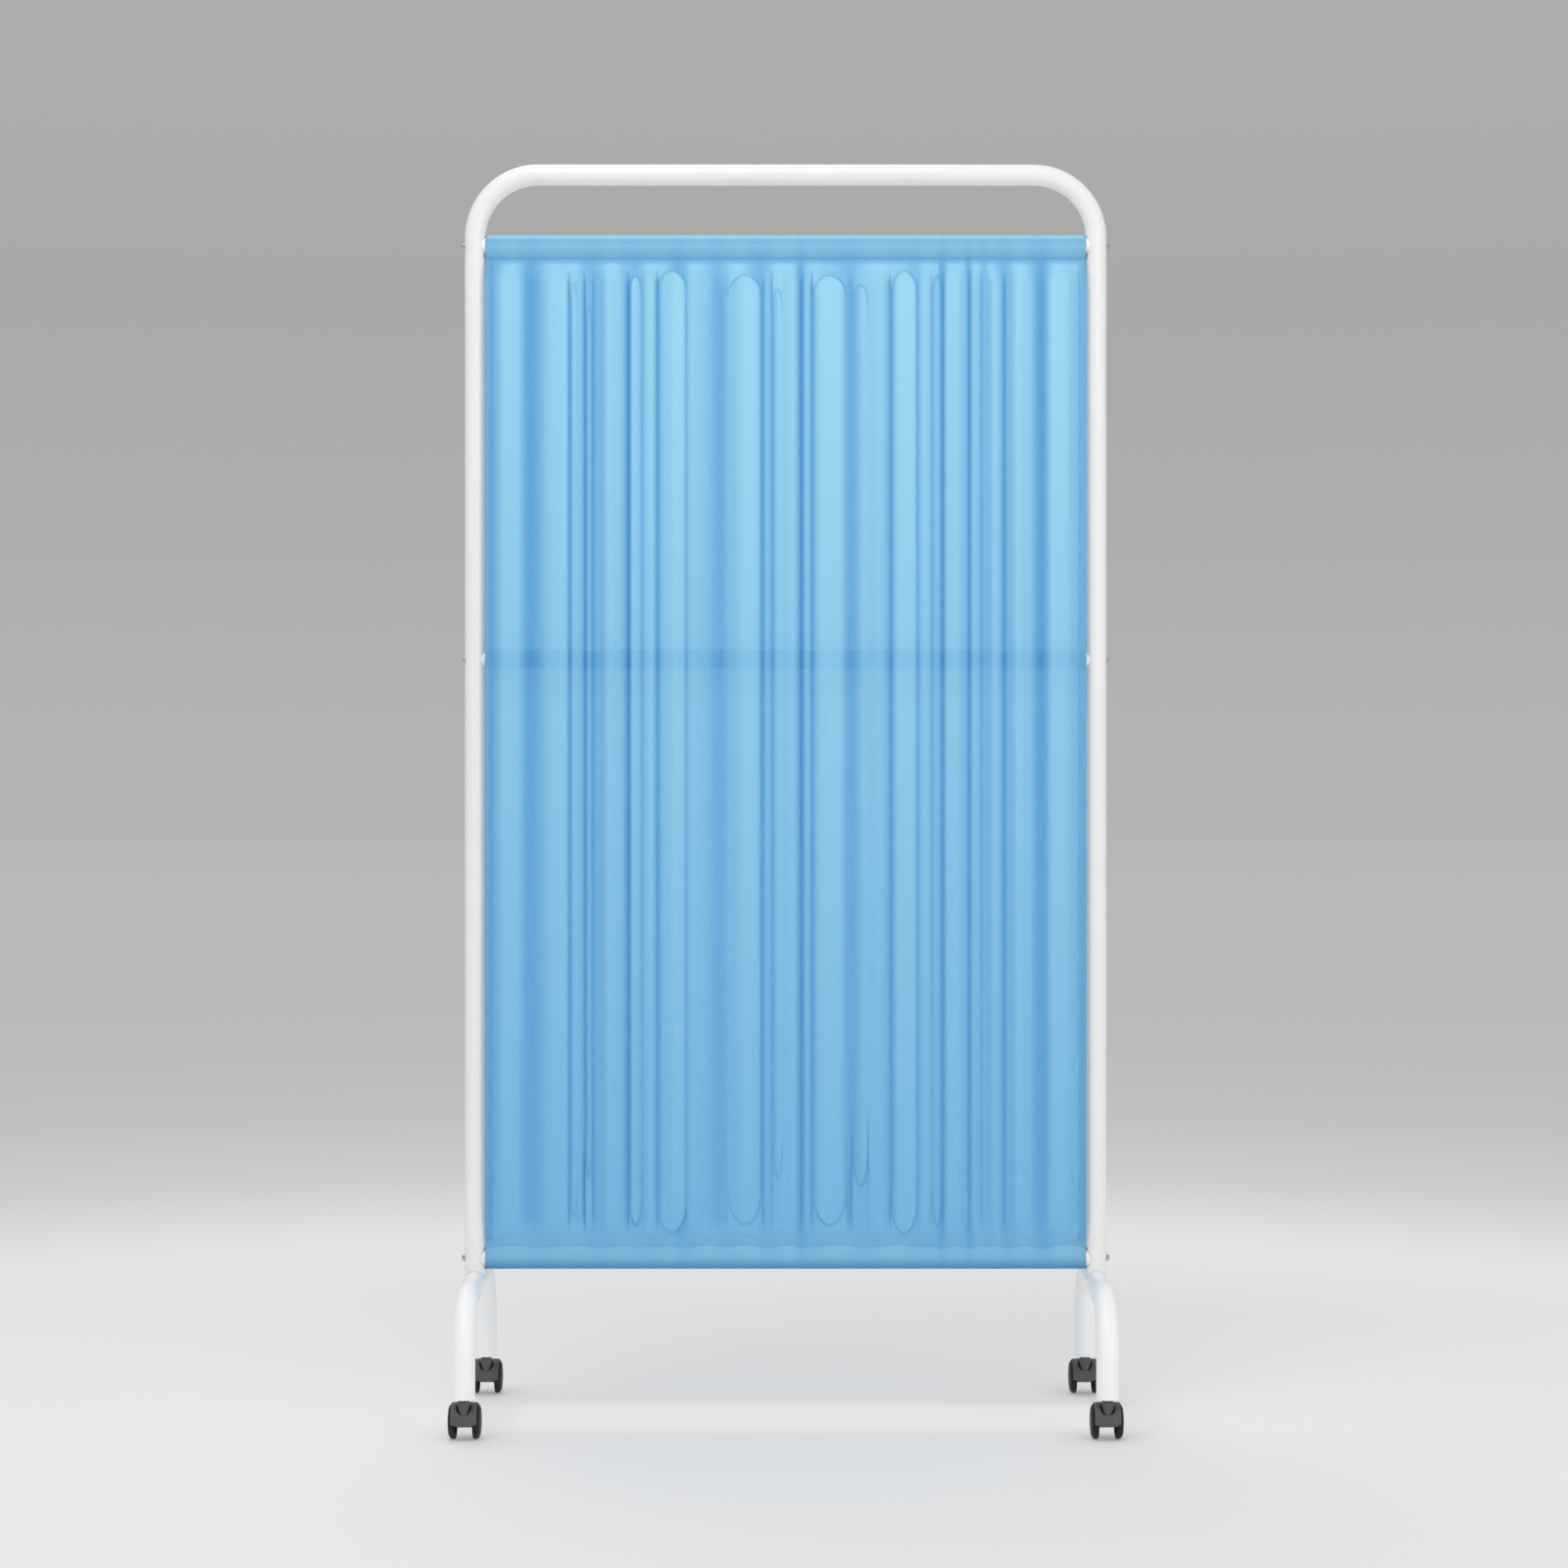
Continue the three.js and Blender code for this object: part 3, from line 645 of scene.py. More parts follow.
# Outlines of the turned forms, as (radius, height)
BOSS = [(0.01, 35.0), (5.5, 35.0), (6.2, 40.0), (7.4, 44.0), (8.3, 49.5), (8.3, 53.2),
        (7.7, 55.6), (6.6, 57.4), (5.6, CASTER_HEIGHT), (6.3, CASTER_HEIGHT - 6), (0.01, CASTER_HEIGHT - 6)]
BOSS_RECESS = [(0.01, 36.4), (7.6, 36.4), (9.8, 41.0), (11.2, 47.0), (11.2, 62.0), (0.01, 62.0)]
BOSS_ROUNDING = 1.6
WHEEL = [(radius, CASTER_HALF - depth) for radius, depth in (
    (0.01, 0.2), (5.2, 0.25), (5.6, 0.7), (6.2, 0.7), (6.6, 0.2), (12.5, 0.15), (AXLE_Z - 5.4, 1.0),
    (AXLE_Z - 4.9, 1.6), (AXLE_Z - 4.4, 1.5), (AXLE_Z - 1.6, 3.2), (AXLE_Z, 6.6),
    (AXLE_Z, WHEEL_WIDTH - 2), (AXLE_Z - 2, WHEEL_WIDTH), (AXLE_Z - 3.6, WHEEL_WIDTH - 4),
    (6.5, WHEEL_WIDTH - 4), (6.5, WHEEL_WIDTH), (3.4, WHEEL_WIDTH), (3.4, 2.5), (0.01, 2.5))]
WHEEL_ROUNDING = 0.9


def on_axle_circle(reach, angle):
    """A place (y, z) at a distance and an angle from the axle."""
    return TRAIL + reach * math.cos(angle), AXLE_Z + reach * math.sin(angle)


def fender():
    """The curved cover over both wheels: a rounded strip swept round the axle."""
    low = FENDER_OUTER - FENDER_CROWN
    section = rounded([(0, FENDER_OUTER), (FENDER_FLAT, FENDER_OUTER), (FENDER_HALF, low),
                       (FENDER_HALF, FENDER_INNER), (-FENDER_HALF, FENDER_INNER), (-FENDER_HALF, low),
                       (-FENDER_FLAT, FENDER_OUTER), (0, FENDER_OUTER)], FENDER_ROUNDING)[:-1]
    rows = []
    for step in range(FENDER_STEPS + 1):
        share = step / FENDER_STEPS
        row = []
        for x, r in section:
            front = FRONT_ANGLE - FRONT_BOW * (x / FENDER_HALF) ** 2
            angle = front + (REAR_ANGLE - front) * share
            row.append((x, *on_axle_circle(r - FENDER_TOP_DROP * math.sin(angle) ** 2, angle)))
        rows.append(np.array(row))
    count = len(section)
    last = FENDER_STEPS * count
    faces = ring_faces(len(rows), count)
    faces += [tuple(range(count)), tuple(range(last, last + count))[::-1]]
    return bevelled(new_object("fender", np.concatenate(rows), faces, HOOD_NYLON), FENDER_BEVEL, 2)


def web():
    """The body between the wheels, under the fender."""
    outline = []
    for step in range(FENDER_STEPS + 1):
        angle = FRONT_ANGLE + (REAR_ANGLE - FRONT_ANGLE) * step / FENDER_STEPS
        reach = (FENDER_INNER + FENDER_OUTER) / 2 - FENDER_TOP_DROP * math.sin(angle) ** 2
        outline.append(on_axle_circle(reach, angle))
    outline += [on_axle_circle(WEB_HUB, angle) for angle in WEB_HUB_ANGLES] + [WEB_NOSE]
    points = [(x, y, z) for x in (-WEB_HALF, WEB_HALF) for y, z in outline]
    count = len(outline)
    faces = capped(ring_faces(2, count), count, 2 * count)
    return bevelled(new_object("web", points, faces, HOOD_NYLON), WEB_BEVEL, 3)


def hood_mesh():
    """Fender, web and the stem's boss as one mesh, with a U-shaped recess round the boss."""
    cutter = turned_solid("recess", rounded(BOSS_RECESS, BOSS_ROUNDING), HOOD_NYLON)
    bodies = [smoothed(cut_out(body, cutter)) for body in (fender(), web())]
    bpy.data.objects.remove(cutter)
    boss = turned_solid("boss", rounded(BOSS, BOSS_ROUNDING), HOOD_NYLON)
    return mesh_of(join(bodies + [boss]))


def wheel_mesh():
    """A domed wheel standing along +Z, its outer face up, dished and bored on its inner face."""
    return mesh_of(turned_solid("wheel", rounded(WHEEL, WHEEL_ROUNDING), WHEEL_NYLON, WHEEL_SIDES))


# Frame pieces in their places

frame_tube()
for level in LEVELS:
    cross_rod(level)
screw_form = screw_mesh()
for name, side in SIDES.items():
    foot(name, side)
    seat = side * (UPRIGHT_X + TUBE_RADIUS)
    for level in LEVELS:
        saddle_plug(level, name, side)
        screw = copy_of(screw_form, f"screw_{level}_{name}", side, (seat, FRAME_Y, ROD_Z[level]))
        place(screw, "screen", "zinc", f"rod_screw_{level}_{name}")

# Casters in their places

wheel_form = wheel_mesh()
hood_form = hood_mesh()
for end in ENDS:
    for name, side in SIDES.items():
        spot = f"{end}_{name}"
        stem = middle_mm(f"caster_stem_{spot}")
        socket(end, name, side, stem[1])
        hood = copy_of(hood_form, f"hood_{spot}", 0, (stem[0], stem[1], 0))
        place(hood, f"caster_{spot}", "black_nylon", f"caster_hood_{spot}")
        for which, out in (("outer", side), ("inner", -side)):
            made = copy_of(wheel_form, f"tyre_{spot}_{which}", out,
                           (stem[0], stem[1] + TRAIL, AXLE_Z))
            place(made, f"wheel_{spot}_{which}", "wheel_black", f"wheel_{spot}_{which}")

# Nodes whose own shape is shown get a finish and smooth round sides

for name in SIDES:
    nodes = [f"{kind}_{name}" for kind in ("upright_insert", "saddle_washer", "foot_bolt")]
    nodes += [f"{kind}_{end}_{name}" for end in ENDS for kind in ("caster_stem", "caster_axle")]
    for node in nodes:
        smoothed(bpy.data.objects[node])
        for slot in bpy.data.objects[node].material_slots:
            slot.material = ZINC


# Curtain: one open sheet, its folds modelled

CREASE = "crease"
WIDTH_PARTS = 1000
DEPTH_PARTS = 100


def fold_points(*points):
    """Fold points as shares of the width and of the fold depth, with CREASE where they are sharp."""
    return [(across / WIDTH_PARTS, depth / DEPTH_PARTS, *bend) for across, depth, *bend in points]


# Each fold point: thousandths of the width from the left, hundredths of the fold depth forward
FOLDS_UNDER_HEADER = fold_points(
    (0, 30), (12.27, 25), (41.73, 85), (74.47, 15), (115.4, 80), (141.6, 78), (175.9, 30), (213.6, 88),
    (231.6, 50), (248, 35), (277.4, 80), (293.8, 70), (323.2, 25), (347.8, 85), (387.1, 35),
    (418.2, 85), (457.4, 30), (490.2, 85), (509.8, 80), (524.5, 10, CREASE), (545.8, 80), (570.4, 60),
    (604.7, 35), (650.6, 90), (693.1, 70), (714.4, 45), (735.7, 85), (750.4, 70), (760.2, 2, CREASE),
    (775, 85), (793, 80), (805.2, 8, CREASE), (812.6, 85), (830.6, 35, CREASE), (842.1, 80),
    (863.3, 30), (889.5, 90), (927.2, 15), (950.1, 92), (982.8, 70), (1000, 35))
FOLDS = fold_points(
    (0, 45), (12.2, 26), (31.91, 84), (51.55, 82), (73.65, 5), (115.4, 80), (132.6, 95),
    (140.8, 25, CREASE), (147.3, 72), (157.5, 55), (166.4, 6, CREASE), (172.5, 48), (179.2, 18, CREASE),
    (190.7, 30), (205.4, 85), (221.8, 70), (238.9, 0, CREASE), (246, 86), (261.2, 45, CREASE),
    (276, 90), (286.8, 20, CREASE), (298.7, 68), (316.7, 100), (328.2, 95), (334.7, 50, CREASE),
    (345.3, 75), (362.5, 60), (390.3, 17), (408.3, 53), (432.9, 98), (451, 90), (461, 18, CREASE),
    (468.9, 52), (477.9, 32, CREASE), (490.2, 82), (499.2, 72), (511, 86), (525.8, 0, CREASE),
    (536, 66), (544.2, 25, CREASE), (558.9, 95), (572, 100), (588.4, 95), (608, 16), (630.9, 74),
    (644, 68), (655.5, 76), (675.1, 20, CREASE), (689, 98), (702.9, 100), (712.8, 95),
    (719.3, 42, CREASE), (732.4, 82), (743.9, 44, CREASE), (752, 52), (761, 10, CREASE), (770, 84),
    (784.8, 88), (797.9, 50), (805.2, 12, CREASE), (812.6, 68), (825.7, 38, CREASE), (833.9, 36),
    (847, 84), (864, 12, CREASE), (872, 42), (885, 94), (902.6, 72), (925.5, 3), (943.5, 100),
    (963.2, 94), (982.8, 48), (994.3, 42), (1000, 50))
FOLDS_OVER_HEM = fold_points(
    (0, 35), (13.91, 60), (49.92, 80), (89.2, 50), (128.5, 75), (157.9, 78), (189, 50), (228.3, 75),
    (256.1, 55), (280.7, 60), (310.1, 80), (324.9, 35), (367.4, 85), (398.5, 60), (441.1, 88),
    (465.6, 50), (511.5, 85), (524.5, 15, CREASE), (545.8, 60), (585.1, 90), (630.9, 50), (683.3, 85),
    (717.7, 60), (743.9, 70), (760.2, 2, CREASE), (775, 75), (793, 70), (805.2, 5, CREASE), (824.1, 80),
    (838.8, 55), (853.5, 80), (865, 30), (901, 80), (928.8, 20), (955, 85), (982.8, 80), (1000, 40))
# Folds closed by arches: left and right edge in thousandths of the width, then in mm how far the
# upper arch is below the top seam, the lower one above the bottom seam, and their lengths
ARCHED_FOLDS = [
    (238.9, 261.2, 26, 30, 28, 50), (286.8, 334.7, 19, 19, 30, 42), (403.4, 461, 26, 31, 32, 55),
    (544.2, 601.5, 26, 30, 32, 55), (675.1, 719.3, 19, 17.5, 36, 50), (743.9, 761, 27, 30, 40, 60),
    (140.8, 153.5, 39, 44, 40, 60), (166.4, 178, 74, 100, 40, 60), (477.9, 495.1, 46, 100, 40, 60),
    (611.3, 637.5, 39, 86, 40, 60)]

CLOTH_HALF = 430.4
POCKET_RADIUS = 13.8
SEAM_DROP = 19.0
STAND_OFF = 13.4
FOLD_DEPTH = 12.0
RUN_IN = 60.0
SEAM_FORWARD = 8.0
SEAM_LAYERS = 1.1
SEAM_SHARE = 0.25
FILL_OUT = 22.0
HEADER_BLEND = (10.0, 46.0)
HEM_SHARE = 0.6
HEM_RUN = 110.0
COLUMNS = 580
SIDE_HEM = 12.0
LAYER = 0.9
# A side hem's columns: distance in from the edge and distance behind the sheet
SIDE_TURN = ((SIDE_HEM, LAYER), (0.66 * SIDE_HEM, LAYER), (0.33 * SIDE_HEM, LAYER), (1.2, LAYER),
             (0.4, 0.7 * LAYER))
# A seam's flap, behind the sheet: distance from the seam and distance behind
FLAP_ROWS = ((0.0, SEAM_LAYERS), (4.0, 1.3), (8.0, 1.3))
POCKET_ROWS = 40
POCKET_SIDE_ROWS = 5
ALL_POCKET_ROWS = POCKET_ROWS + 1 + 2 * (POCKET_SIDE_ROWS - 1)
# The gathers' share where the pocket's curve starts, and how far round it they reach
GATHER_ON_ROD = 0.7
GATHER_END = 0.42
# How far inward a side hem lies on the rod's front, in layers
HEM_ON_ROD = 0.5
DENSE_RUN = 96.0
DENSE_STEP = 2.0
WIDE_STEP = 13.0
WRINKLE = 0.2
WRINKLE_GRID = (48, 160)
WRINKLE_SOFTNESS = (1.2, 1.4)
WRINKLE_BLEND = (-4.0, 30.0)
# Keeps a row of wrinkles below the last one, so that another always follows
JUST_OVER_ONE = 1.001
FOLD_SOFTNESS = 2.6
SEAM_SOFTNESS = FOLD_SOFTNESS * 1.6
ARCH_STEEPEST = 0.02
ARCH_EDGE = (-1.0, 2.5)
SEAM_WAVE = 13.0
WAVE_SOFTNESS = 3.0
WAVE_ABOVE, WAVE_BELOW = 22.0, 7.0

# Each pocket's far edge stands off the rod: how far, and over what angle
HEADER_RIDGE = (2.2, 0.20)
HEM_SAG = (1.9, 0.75)

# Each pocket's painted light and shade: share of the way from its seam to its far edge, painted light; a
# painted highlight along the header's top edge, painted shade under the hem
HEADER_PAINTED_LIGHT = ((0, 0.56), (0.14, 0.68), (0.32, 0.80), (0.49, 0.84), (0.60, 0.72), (0.71, 0.60),
                (0.80, 0.74), (0.88, 1.0), (1, 1.0))
HEM_PAINTED_LIGHT = ((0, 0.77), (0.19, 0.76), (0.36, 0.73), (0.53, 0.68), (0.62, 0.58), (0.70, 0.50),
             (0.79, 0.40), (0.87, 0.26), (1, 0.16))
# Painted light by the seams that follows the folds: lighter where they stand forward, darker where they lie
# back
HEADER_SWING, HEM_SWING = 0.14, 0.30

# The painted light between the seams, near the top and near the bottom: of the deepest fold, and how much
# more a ridge has
TOP_PAINTED_LIGHT = (0.17, 0.83)
LOW_PAINTED_LIGHT = (0.28, 0.25)
RIDGE_POWER = 1.3
# Painted shade along the creases, strongest near the top: its spread, its strength, and the share left at
# the bottom
CREASE_SPREAD = 0.0021
CREASE_SHADE = 0.85
LOW_CREASE = 0.55
# The arches' outlines: a groove of this spread and depth, with painted shade along it
OUTLINE_SPREAD = 1.5
OUTLINE_DEPTH = 0.8
OUTLINE_SHADE = 0.42
# Painted shade of the middle rod seen through the cloth: a darker band over the rod's height
ROD_BAND = 13.2
ROD_BAND_EDGE = (-1.2, 1.2)
ROD_BAND_SHADE = 0.10
ROD_ROWS_REACH = 24.0
# Painted shade along the seam lines
SEAM_SHADE = 0.4
SEAM_FADE = 12.0
SEAM_TOP = ROD_Z["top"] - SEAM_DROP
SEAM_BOTTOM = ROD_Z["bottom"] + SEAM_DROP


def smoothstep(low, high, value):
    t = np.clip((value - low) / (high - low), 0, 1)
    return t * t * (3 - 2 * t)


def softened(values, spread):
    """Values along a row, smoothed over a spread counted in columns."""
    reach = int(spread * 3) + 1
    weights = np.exp(-0.5 * (np.arange(-reach, reach + 1) / spread) ** 2)
    padded = np.pad(values, reach, mode="edge")
    return np.convolve(padded, weights / weights.sum(), mode="valid")


def fold_line(points, shares):
    """The forward share across the cloth, at each share of its width."""
    line = np.zeros_like(shares)
    for (start, low, *bend_in), (stop, high, *bend_out) in zip(points, points[1:]):
        within = (shares >= start) & (shares <= stop)
        t = (shares[within] - start) / (stop - start)
        if bend_in and bend_out:
            ease = t
        elif bend_in:
            ease = np.sin(t * math.pi / 2)
        elif bend_out:
            ease = 1 - np.cos(t * math.pi / 2)
        else:
            ease = (1 - np.cos(t * math.pi)) / 2
        line[within] = low + (high - low) * ease
    return line


def painted_light(share, height_share):
    """Painted light on the cloth: lighter on the ridges, most of all near the top."""
    height = np.clip(height_share, 0, 1)
    lit = 1 - (1 - share) ** RIDGE_POWER
    (top_deep, top_more), (low_deep, low_more) = TOP_PAINTED_LIGHT, LOW_PAINTED_LIGHT
    return height * (top_deep + top_more * lit) + (1 - height) * (low_deep + low_more * lit)


def wrinkle_grid():
    """Soft random heights over the sheet, about 1 high."""
    grid = np.random.default_rng(41).standard_normal(WRINKLE_GRID)
    for row in range(WRINKLE_GRID[0]):
        grid[row] = softened(grid[row], WRINKLE_SOFTNESS[0])
    for column in range(WRINKLE_GRID[1]):
        grid[:, column] = softened(grid[:, column], WRINKLE_SOFTNESS[1])
    return grid / grid.std()


# The folds' forward shares, and the painted shade of their creases, at fine steps across the sheet
FINE = np.linspace(0, 1, 2400)
BODY = softened(fold_line(FOLDS, FINE), FOLD_SOFTNESS)
HEADER = softened(fold_line(FOLDS_UNDER_HEADER, FINE), SEAM_SOFTNESS)
HEM = softened(fold_line(FOLDS_OVER_HEM, FINE), SEAM_SOFTNESS)
PAINTED_CREASE_SHADE = sum((1 - depth) * np.exp(-((FINE - where) / CREASE_SPREAD) ** 2)
              for where, depth, *bend in FOLDS if bend)
WRINKLES = wrinkle_grid()


def wrinkle(shares, height_share):
    rows, columns = WRINKLES.shape
    row = np.clip(height_share, 0, 1) * (rows - JUST_OVER_ONE)
    low = int(row)
    values = (1 - row + low) * WRINKLES[low] + (row - low) * WRINKLES[low + 1]
    return np.interp(shares * (columns - 1), np.arange(columns), values)


def sheet_at(shares, z):
    """Forward distance from the frame's plane, and the painted light and shade, along one row."""
    down, up = SEAM_TOP - z, z - SEAM_BOTTOM
    height_share = up / (SEAM_TOP - SEAM_BOTTOM)
    body = np.interp(shares, FINE, BODY)
    top = smoothstep(*HEADER_BLEND, down) * np.ones_like(shares)
    bottom = smoothstep(*HEADER_BLEND, up) * np.ones_like(shares)
    groove = np.zeros_like(shares)
    outline = np.zeros_like(shares)
    for left, right, drop, rise, top_arch, bottom_arch in ARCHED_FOLDS:
        middle, half = (left + right) / 2 / WIDTH_PARTS, (right - left) / 2 / WIDTH_PARTS
        across = (shares - middle) / half
        inside = np.abs(across) < 1
        root = np.sqrt(np.clip(1 - across[inside] ** 2, ARCH_STEEPEST, 1))
        for run, start, length, weights in ((down, drop, top_arch, top),
                                            (up, rise, bottom_arch, bottom)):
            slope = length * across[inside] / root / (half * 2 * CLOTH_HALF)
            near = (run - start - length * (1 - root)) / np.sqrt(1 + slope ** 2)
            line = np.exp(-(near / OUTLINE_SPREAD) ** 2)
            weights[inside] = smoothstep(*ARCH_EDGE, near)
            groove[inside] -= OUTLINE_DEPTH * line
            outline[inside] += line
    ends_share = np.where(down < up, np.interp(shares, FINE, HEADER), np.interp(shares, FINE, HEM))
    weights = np.where(down < up, top, bottom)
    share = ends_share + (body - ends_share) * weights
    run = min(down, up)
    opening = 1 - (1 - min(1.0, run / RUN_IN)) ** 2
    fill = SEAM_SHARE + (1 - SEAM_SHARE) * smoothstep(0, FILL_OUT, run)
    if up < down:
        fill *= HEM_SHARE + (1 - HEM_SHARE) * smoothstep(0, HEM_RUN, up)
    forward = SEAM_FORWARD + (STAND_OFF - SEAM_FORWARD) * opening + FOLD_DEPTH * fill * share + groove
    forward += WRINKLE * smoothstep(*WRINKLE_BLEND, run) * wrinkle(shares, height_share)
    # Painted shade in the creases, weaker towards the bottom
    depth = CREASE_SHADE * (LOW_CREASE + (1 - LOW_CREASE) * np.clip(height_share, 0, 1))
    shade = 1 - depth * np.clip(np.interp(shares, FINE, PAINTED_CREASE_SHADE) * weights, 0, 1)
    # Painted shade along the arches' outlines
    shade *= 1 - OUTLINE_SHADE * np.clip(outline, 0, 1)
    # Painted shade of the middle rod, a darker band across the cloth
    band = ROD_BAND_SHADE * smoothstep(*ROD_BAND_EDGE, ROD_BAND - abs(z - ROD_Z["middle"]))
    return forward, painted_light(share, height_share) * shade - band


def pocket(share, centre_z, sense, ridge):
    """Rows (forward, z, inward, reach) round a rod, from the seam's front over to its back.

    sense is 1 over a rod and -1 under it; inward is how far a side hem lies behind, in layers;
    reach is the share of the way from the seam to the far edge.
    """
    stand, spread = ridge
    reach = math.hypot(SEAM_FORWARD, SEAM_DROP)
    middle = math.atan2(SEAM_FORWARD, SEAM_DROP)
    opening = math.acos(POCKET_RADIUS / reach)
    first, last = middle + opening, middle - opening + 2 * math.pi
    gather = SEAM_SHARE * FOLD_DEPTH * share
    rows = []

    def add(forward, height, inward):
        reach_share = np.clip((height + SEAM_DROP) / (SEAM_DROP + POCKET_RADIUS + stand), 0, 1)
        rows.append((forward, centre_z + sense * height, inward, reach_share))

    def add_straight(turn, s, gathered, inward):
        """A row on the straight run from the seam to where the cloth meets its curve."""
        forward = SEAM_FORWARD + (POCKET_RADIUS * math.sin(turn) - SEAM_FORWARD) * s
        height = -SEAM_DROP + (SEAM_DROP - POCKET_RADIUS * math.cos(turn)) * s
        add(forward + gathered, height, inward)

    for step in range(1, POCKET_SIDE_ROWS):
        s = step / POCKET_SIDE_ROWS
        add_straight(first, s, gather * (1 - (1 - GATHER_ON_ROD) * s), 1.0)
    for step in range(POCKET_ROWS + 1):
        s = step / POCKET_ROWS
        turn = first + (last - first) * s
        radius = POCKET_RADIUS + GATHER_ON_ROD * gather * max(0.0, 1 - s / GATHER_END) ** 2
        radius = radius + stand * math.exp(-((turn - math.pi) / spread) ** 2)
        add(radius * math.sin(turn), -radius * math.cos(turn), HEM_ON_ROD * math.sin(turn))
    for step in range(1, POCKET_SIDE_ROWS):
        s = 1 - step / POCKET_SIDE_ROWS
        add_straight(last, s, (gather - SEAM_LAYERS) * (1 - s), -HEM_ON_ROD * s)
    return rows


def sheet_columns():
    """Each column's place across the sheet, and how far it lies behind as part of a side hem."""
    turned, back = np.array(SIDE_TURN).T
    main = np.linspace(-CLOTH_HALF, CLOTH_HALF, COLUMNS)
    across = np.concatenate([-CLOTH_HALF + turned, main, (CLOTH_HALF - turned)[::-1]])
    return across, np.concatenate([back, np.zeros(COLUMNS), back[::-1]])


def sheet_heights():
    """The rows' heights between the seams, closer together by the seams and the middle rod."""
    dense = np.arange(0, DENSE_RUN, DENSE_STEP)
    near_rod = ROD_Z["middle"] + np.arange(ROD_ROWS_REACH, -ROD_ROWS_REACH - 1, -DENSE_STEP)
    upper = np.arange(SEAM_TOP - DENSE_RUN, near_rod[0] + DENSE_STEP, -WIDE_STEP)
    lower = np.arange(near_rod[-1] - WIDE_STEP, SEAM_BOTTOM + DENSE_RUN - DENSE_STEP, -WIDE_STEP)
    return np.concatenate([SEAM_TOP - dense, upper, near_rod, lower, (SEAM_BOTTOM + dense)[::-1]])


def sheet_rows(shares, behind):
    """Rows (forward, z) and their painted light and shade, from the top seam's flap down to the bottom
    one's.
    """
    rows, painted_lights = [], []

    def add(forward, z, tone, inward=1.0):
        rows.append((forward - inward * behind, z))
        painted_lights.append(tone)

    def add_flap(z, tone, layers):
        add(sheet_at(shares, z)[0] - layers, z, tone)

    top_share, low_share = np.interp(shares, FINE, HEADER), np.interp(shares, FINE, HEM)
    # Painted highlight and shade near the seams, following the folds
    header_swing = HEADER_SWING * (top_share - top_share.mean())
    hem_swing = HEM_SWING * (low_share - low_share.mean())
    header_painted_light = HEADER_PAINTED_LIGHT[0][1] + header_swing
    hem_painted_light = HEM_PAINTED_LIGHT[0][1] + hem_swing
    for away, layers in FLAP_ROWS[::-1]:
        add_flap(SEAM_TOP - away, header_painted_light, layers)
    for forward, z, inward, reach in pocket(top_share, ROD_Z["top"], 1, HEADER_RIDGE)[::-1]:
        add(forward, z, np.interp(reach, *zip(*HEADER_PAINTED_LIGHT)) + header_swing, inward)
    for z in sheet_heights():
        forward, tone = sheet_at(shares, z)
        run = min(SEAM_TOP - z, z - SEAM_BOTTOM)
        edge = float(smoothstep(0, SEAM_FADE, run))
        # Near the seams the seam's painted light takes over, with painted shade along the seam line
        seam_painted_light = (header_painted_light if z > ROD_Z["middle"] else hem_painted_light) * (1 - edge)
        add(forward, z, tone * edge + seam_painted_light * (1 - SEAM_SHADE * max(0.0, 1 - run)))
    for forward, z, inward, reach in pocket(low_share * HEM_SHARE, ROD_Z["bottom"], -1, HEM_SAG):
        add(forward, z, np.interp(reach, *zip(*HEM_PAINTED_LIGHT)) + hem_swing * (1 - reach), inward)
    for away, layers in FLAP_ROWS:
        add_flap(SEAM_BOTTOM + away, hem_painted_light, layers)
    return rows, painted_lights


def spacing(points, axis):
    """The distances between neighbouring points of a grid, along one of its axes."""
    return np.linalg.norm(np.diff(points, axis=axis), axis=2)


def curtain():
    """The sheet, its grid of points in millimetres, and its flat width and length in metres."""
    across, behind = sheet_columns()
    shares = (across + CLOTH_HALF) / (2 * CLOTH_HALF)
    rows, painted_lights = sheet_rows(shares, behind)
    low_share = np.interp(shares, FINE, HEM)
    wave = SEAM_WAVE * (softened(low_share, WAVE_SOFTNESS) - low_share.mean())
    points = np.empty((len(rows), len(shares), 3))
    for row, (forward, z) in zip(points, rows):
        z = z * np.ones_like(shares)
        reach = np.where(z < SEAM_BOTTOM, WAVE_BELOW, WAVE_ABOVE)
        near = np.clip(1 - np.abs(z - SEAM_BOTTOM) / reach, 0, 1)
        row[:] = np.stack([across, FRAME_Y - forward, z + wave * near], axis=1)
    steps_across, steps_down = spacing(points, 1), spacing(points, 0)
    u = np.append(0, np.cumsum(steps_across.mean(axis=0))) * MM
    v = -np.append(0, np.cumsum(steps_down.mean(axis=1))) * MM

    faces = ring_faces(len(rows), len(shares), closed=False)
    made = new_object("ward_curtain", points.reshape(-1, 3), faces, CLOTH, sharp=None, solid=False)
    mesh = made.data
    corner = np.empty(len(mesh.loops), dtype=np.int32)
    mesh.loops.foreach_get("vertex_index", corner)
    places = np.stack([u[corner % len(shares)], v[corner // len(shares)]], axis=1)
    mesh.uv_layers.new(name="weave").data.foreach_set("uv", places.ravel())
    # The painted light and shade of each point, for the cloth's material
    attribute = mesh.attributes.new("painted_light", "FLOAT", "POINT")
    attribute.data.foreach_set("value", np.clip(np.concatenate(painted_lights), 0, 1))
    place(made, "screen", "blue_cloth", "curtain")
    return made, points, float(np.median(steps_across.sum(axis=1))) * MM, float(-v[-1])


STITCH_LENGTH = 2.2
STITCH_PITCH = 3.3
STITCH_HALF = 0.3
STITCH_RISE = 0.35
STITCH_CREST = 0.7
TINY = 1e-9
TO_FRONT = np.array((0.0, -1.0, 0.0))
THREAD_LIFT = 0.15
# The side seams' column, counted from either edge of the sheet
SIDE_STITCHES = 12


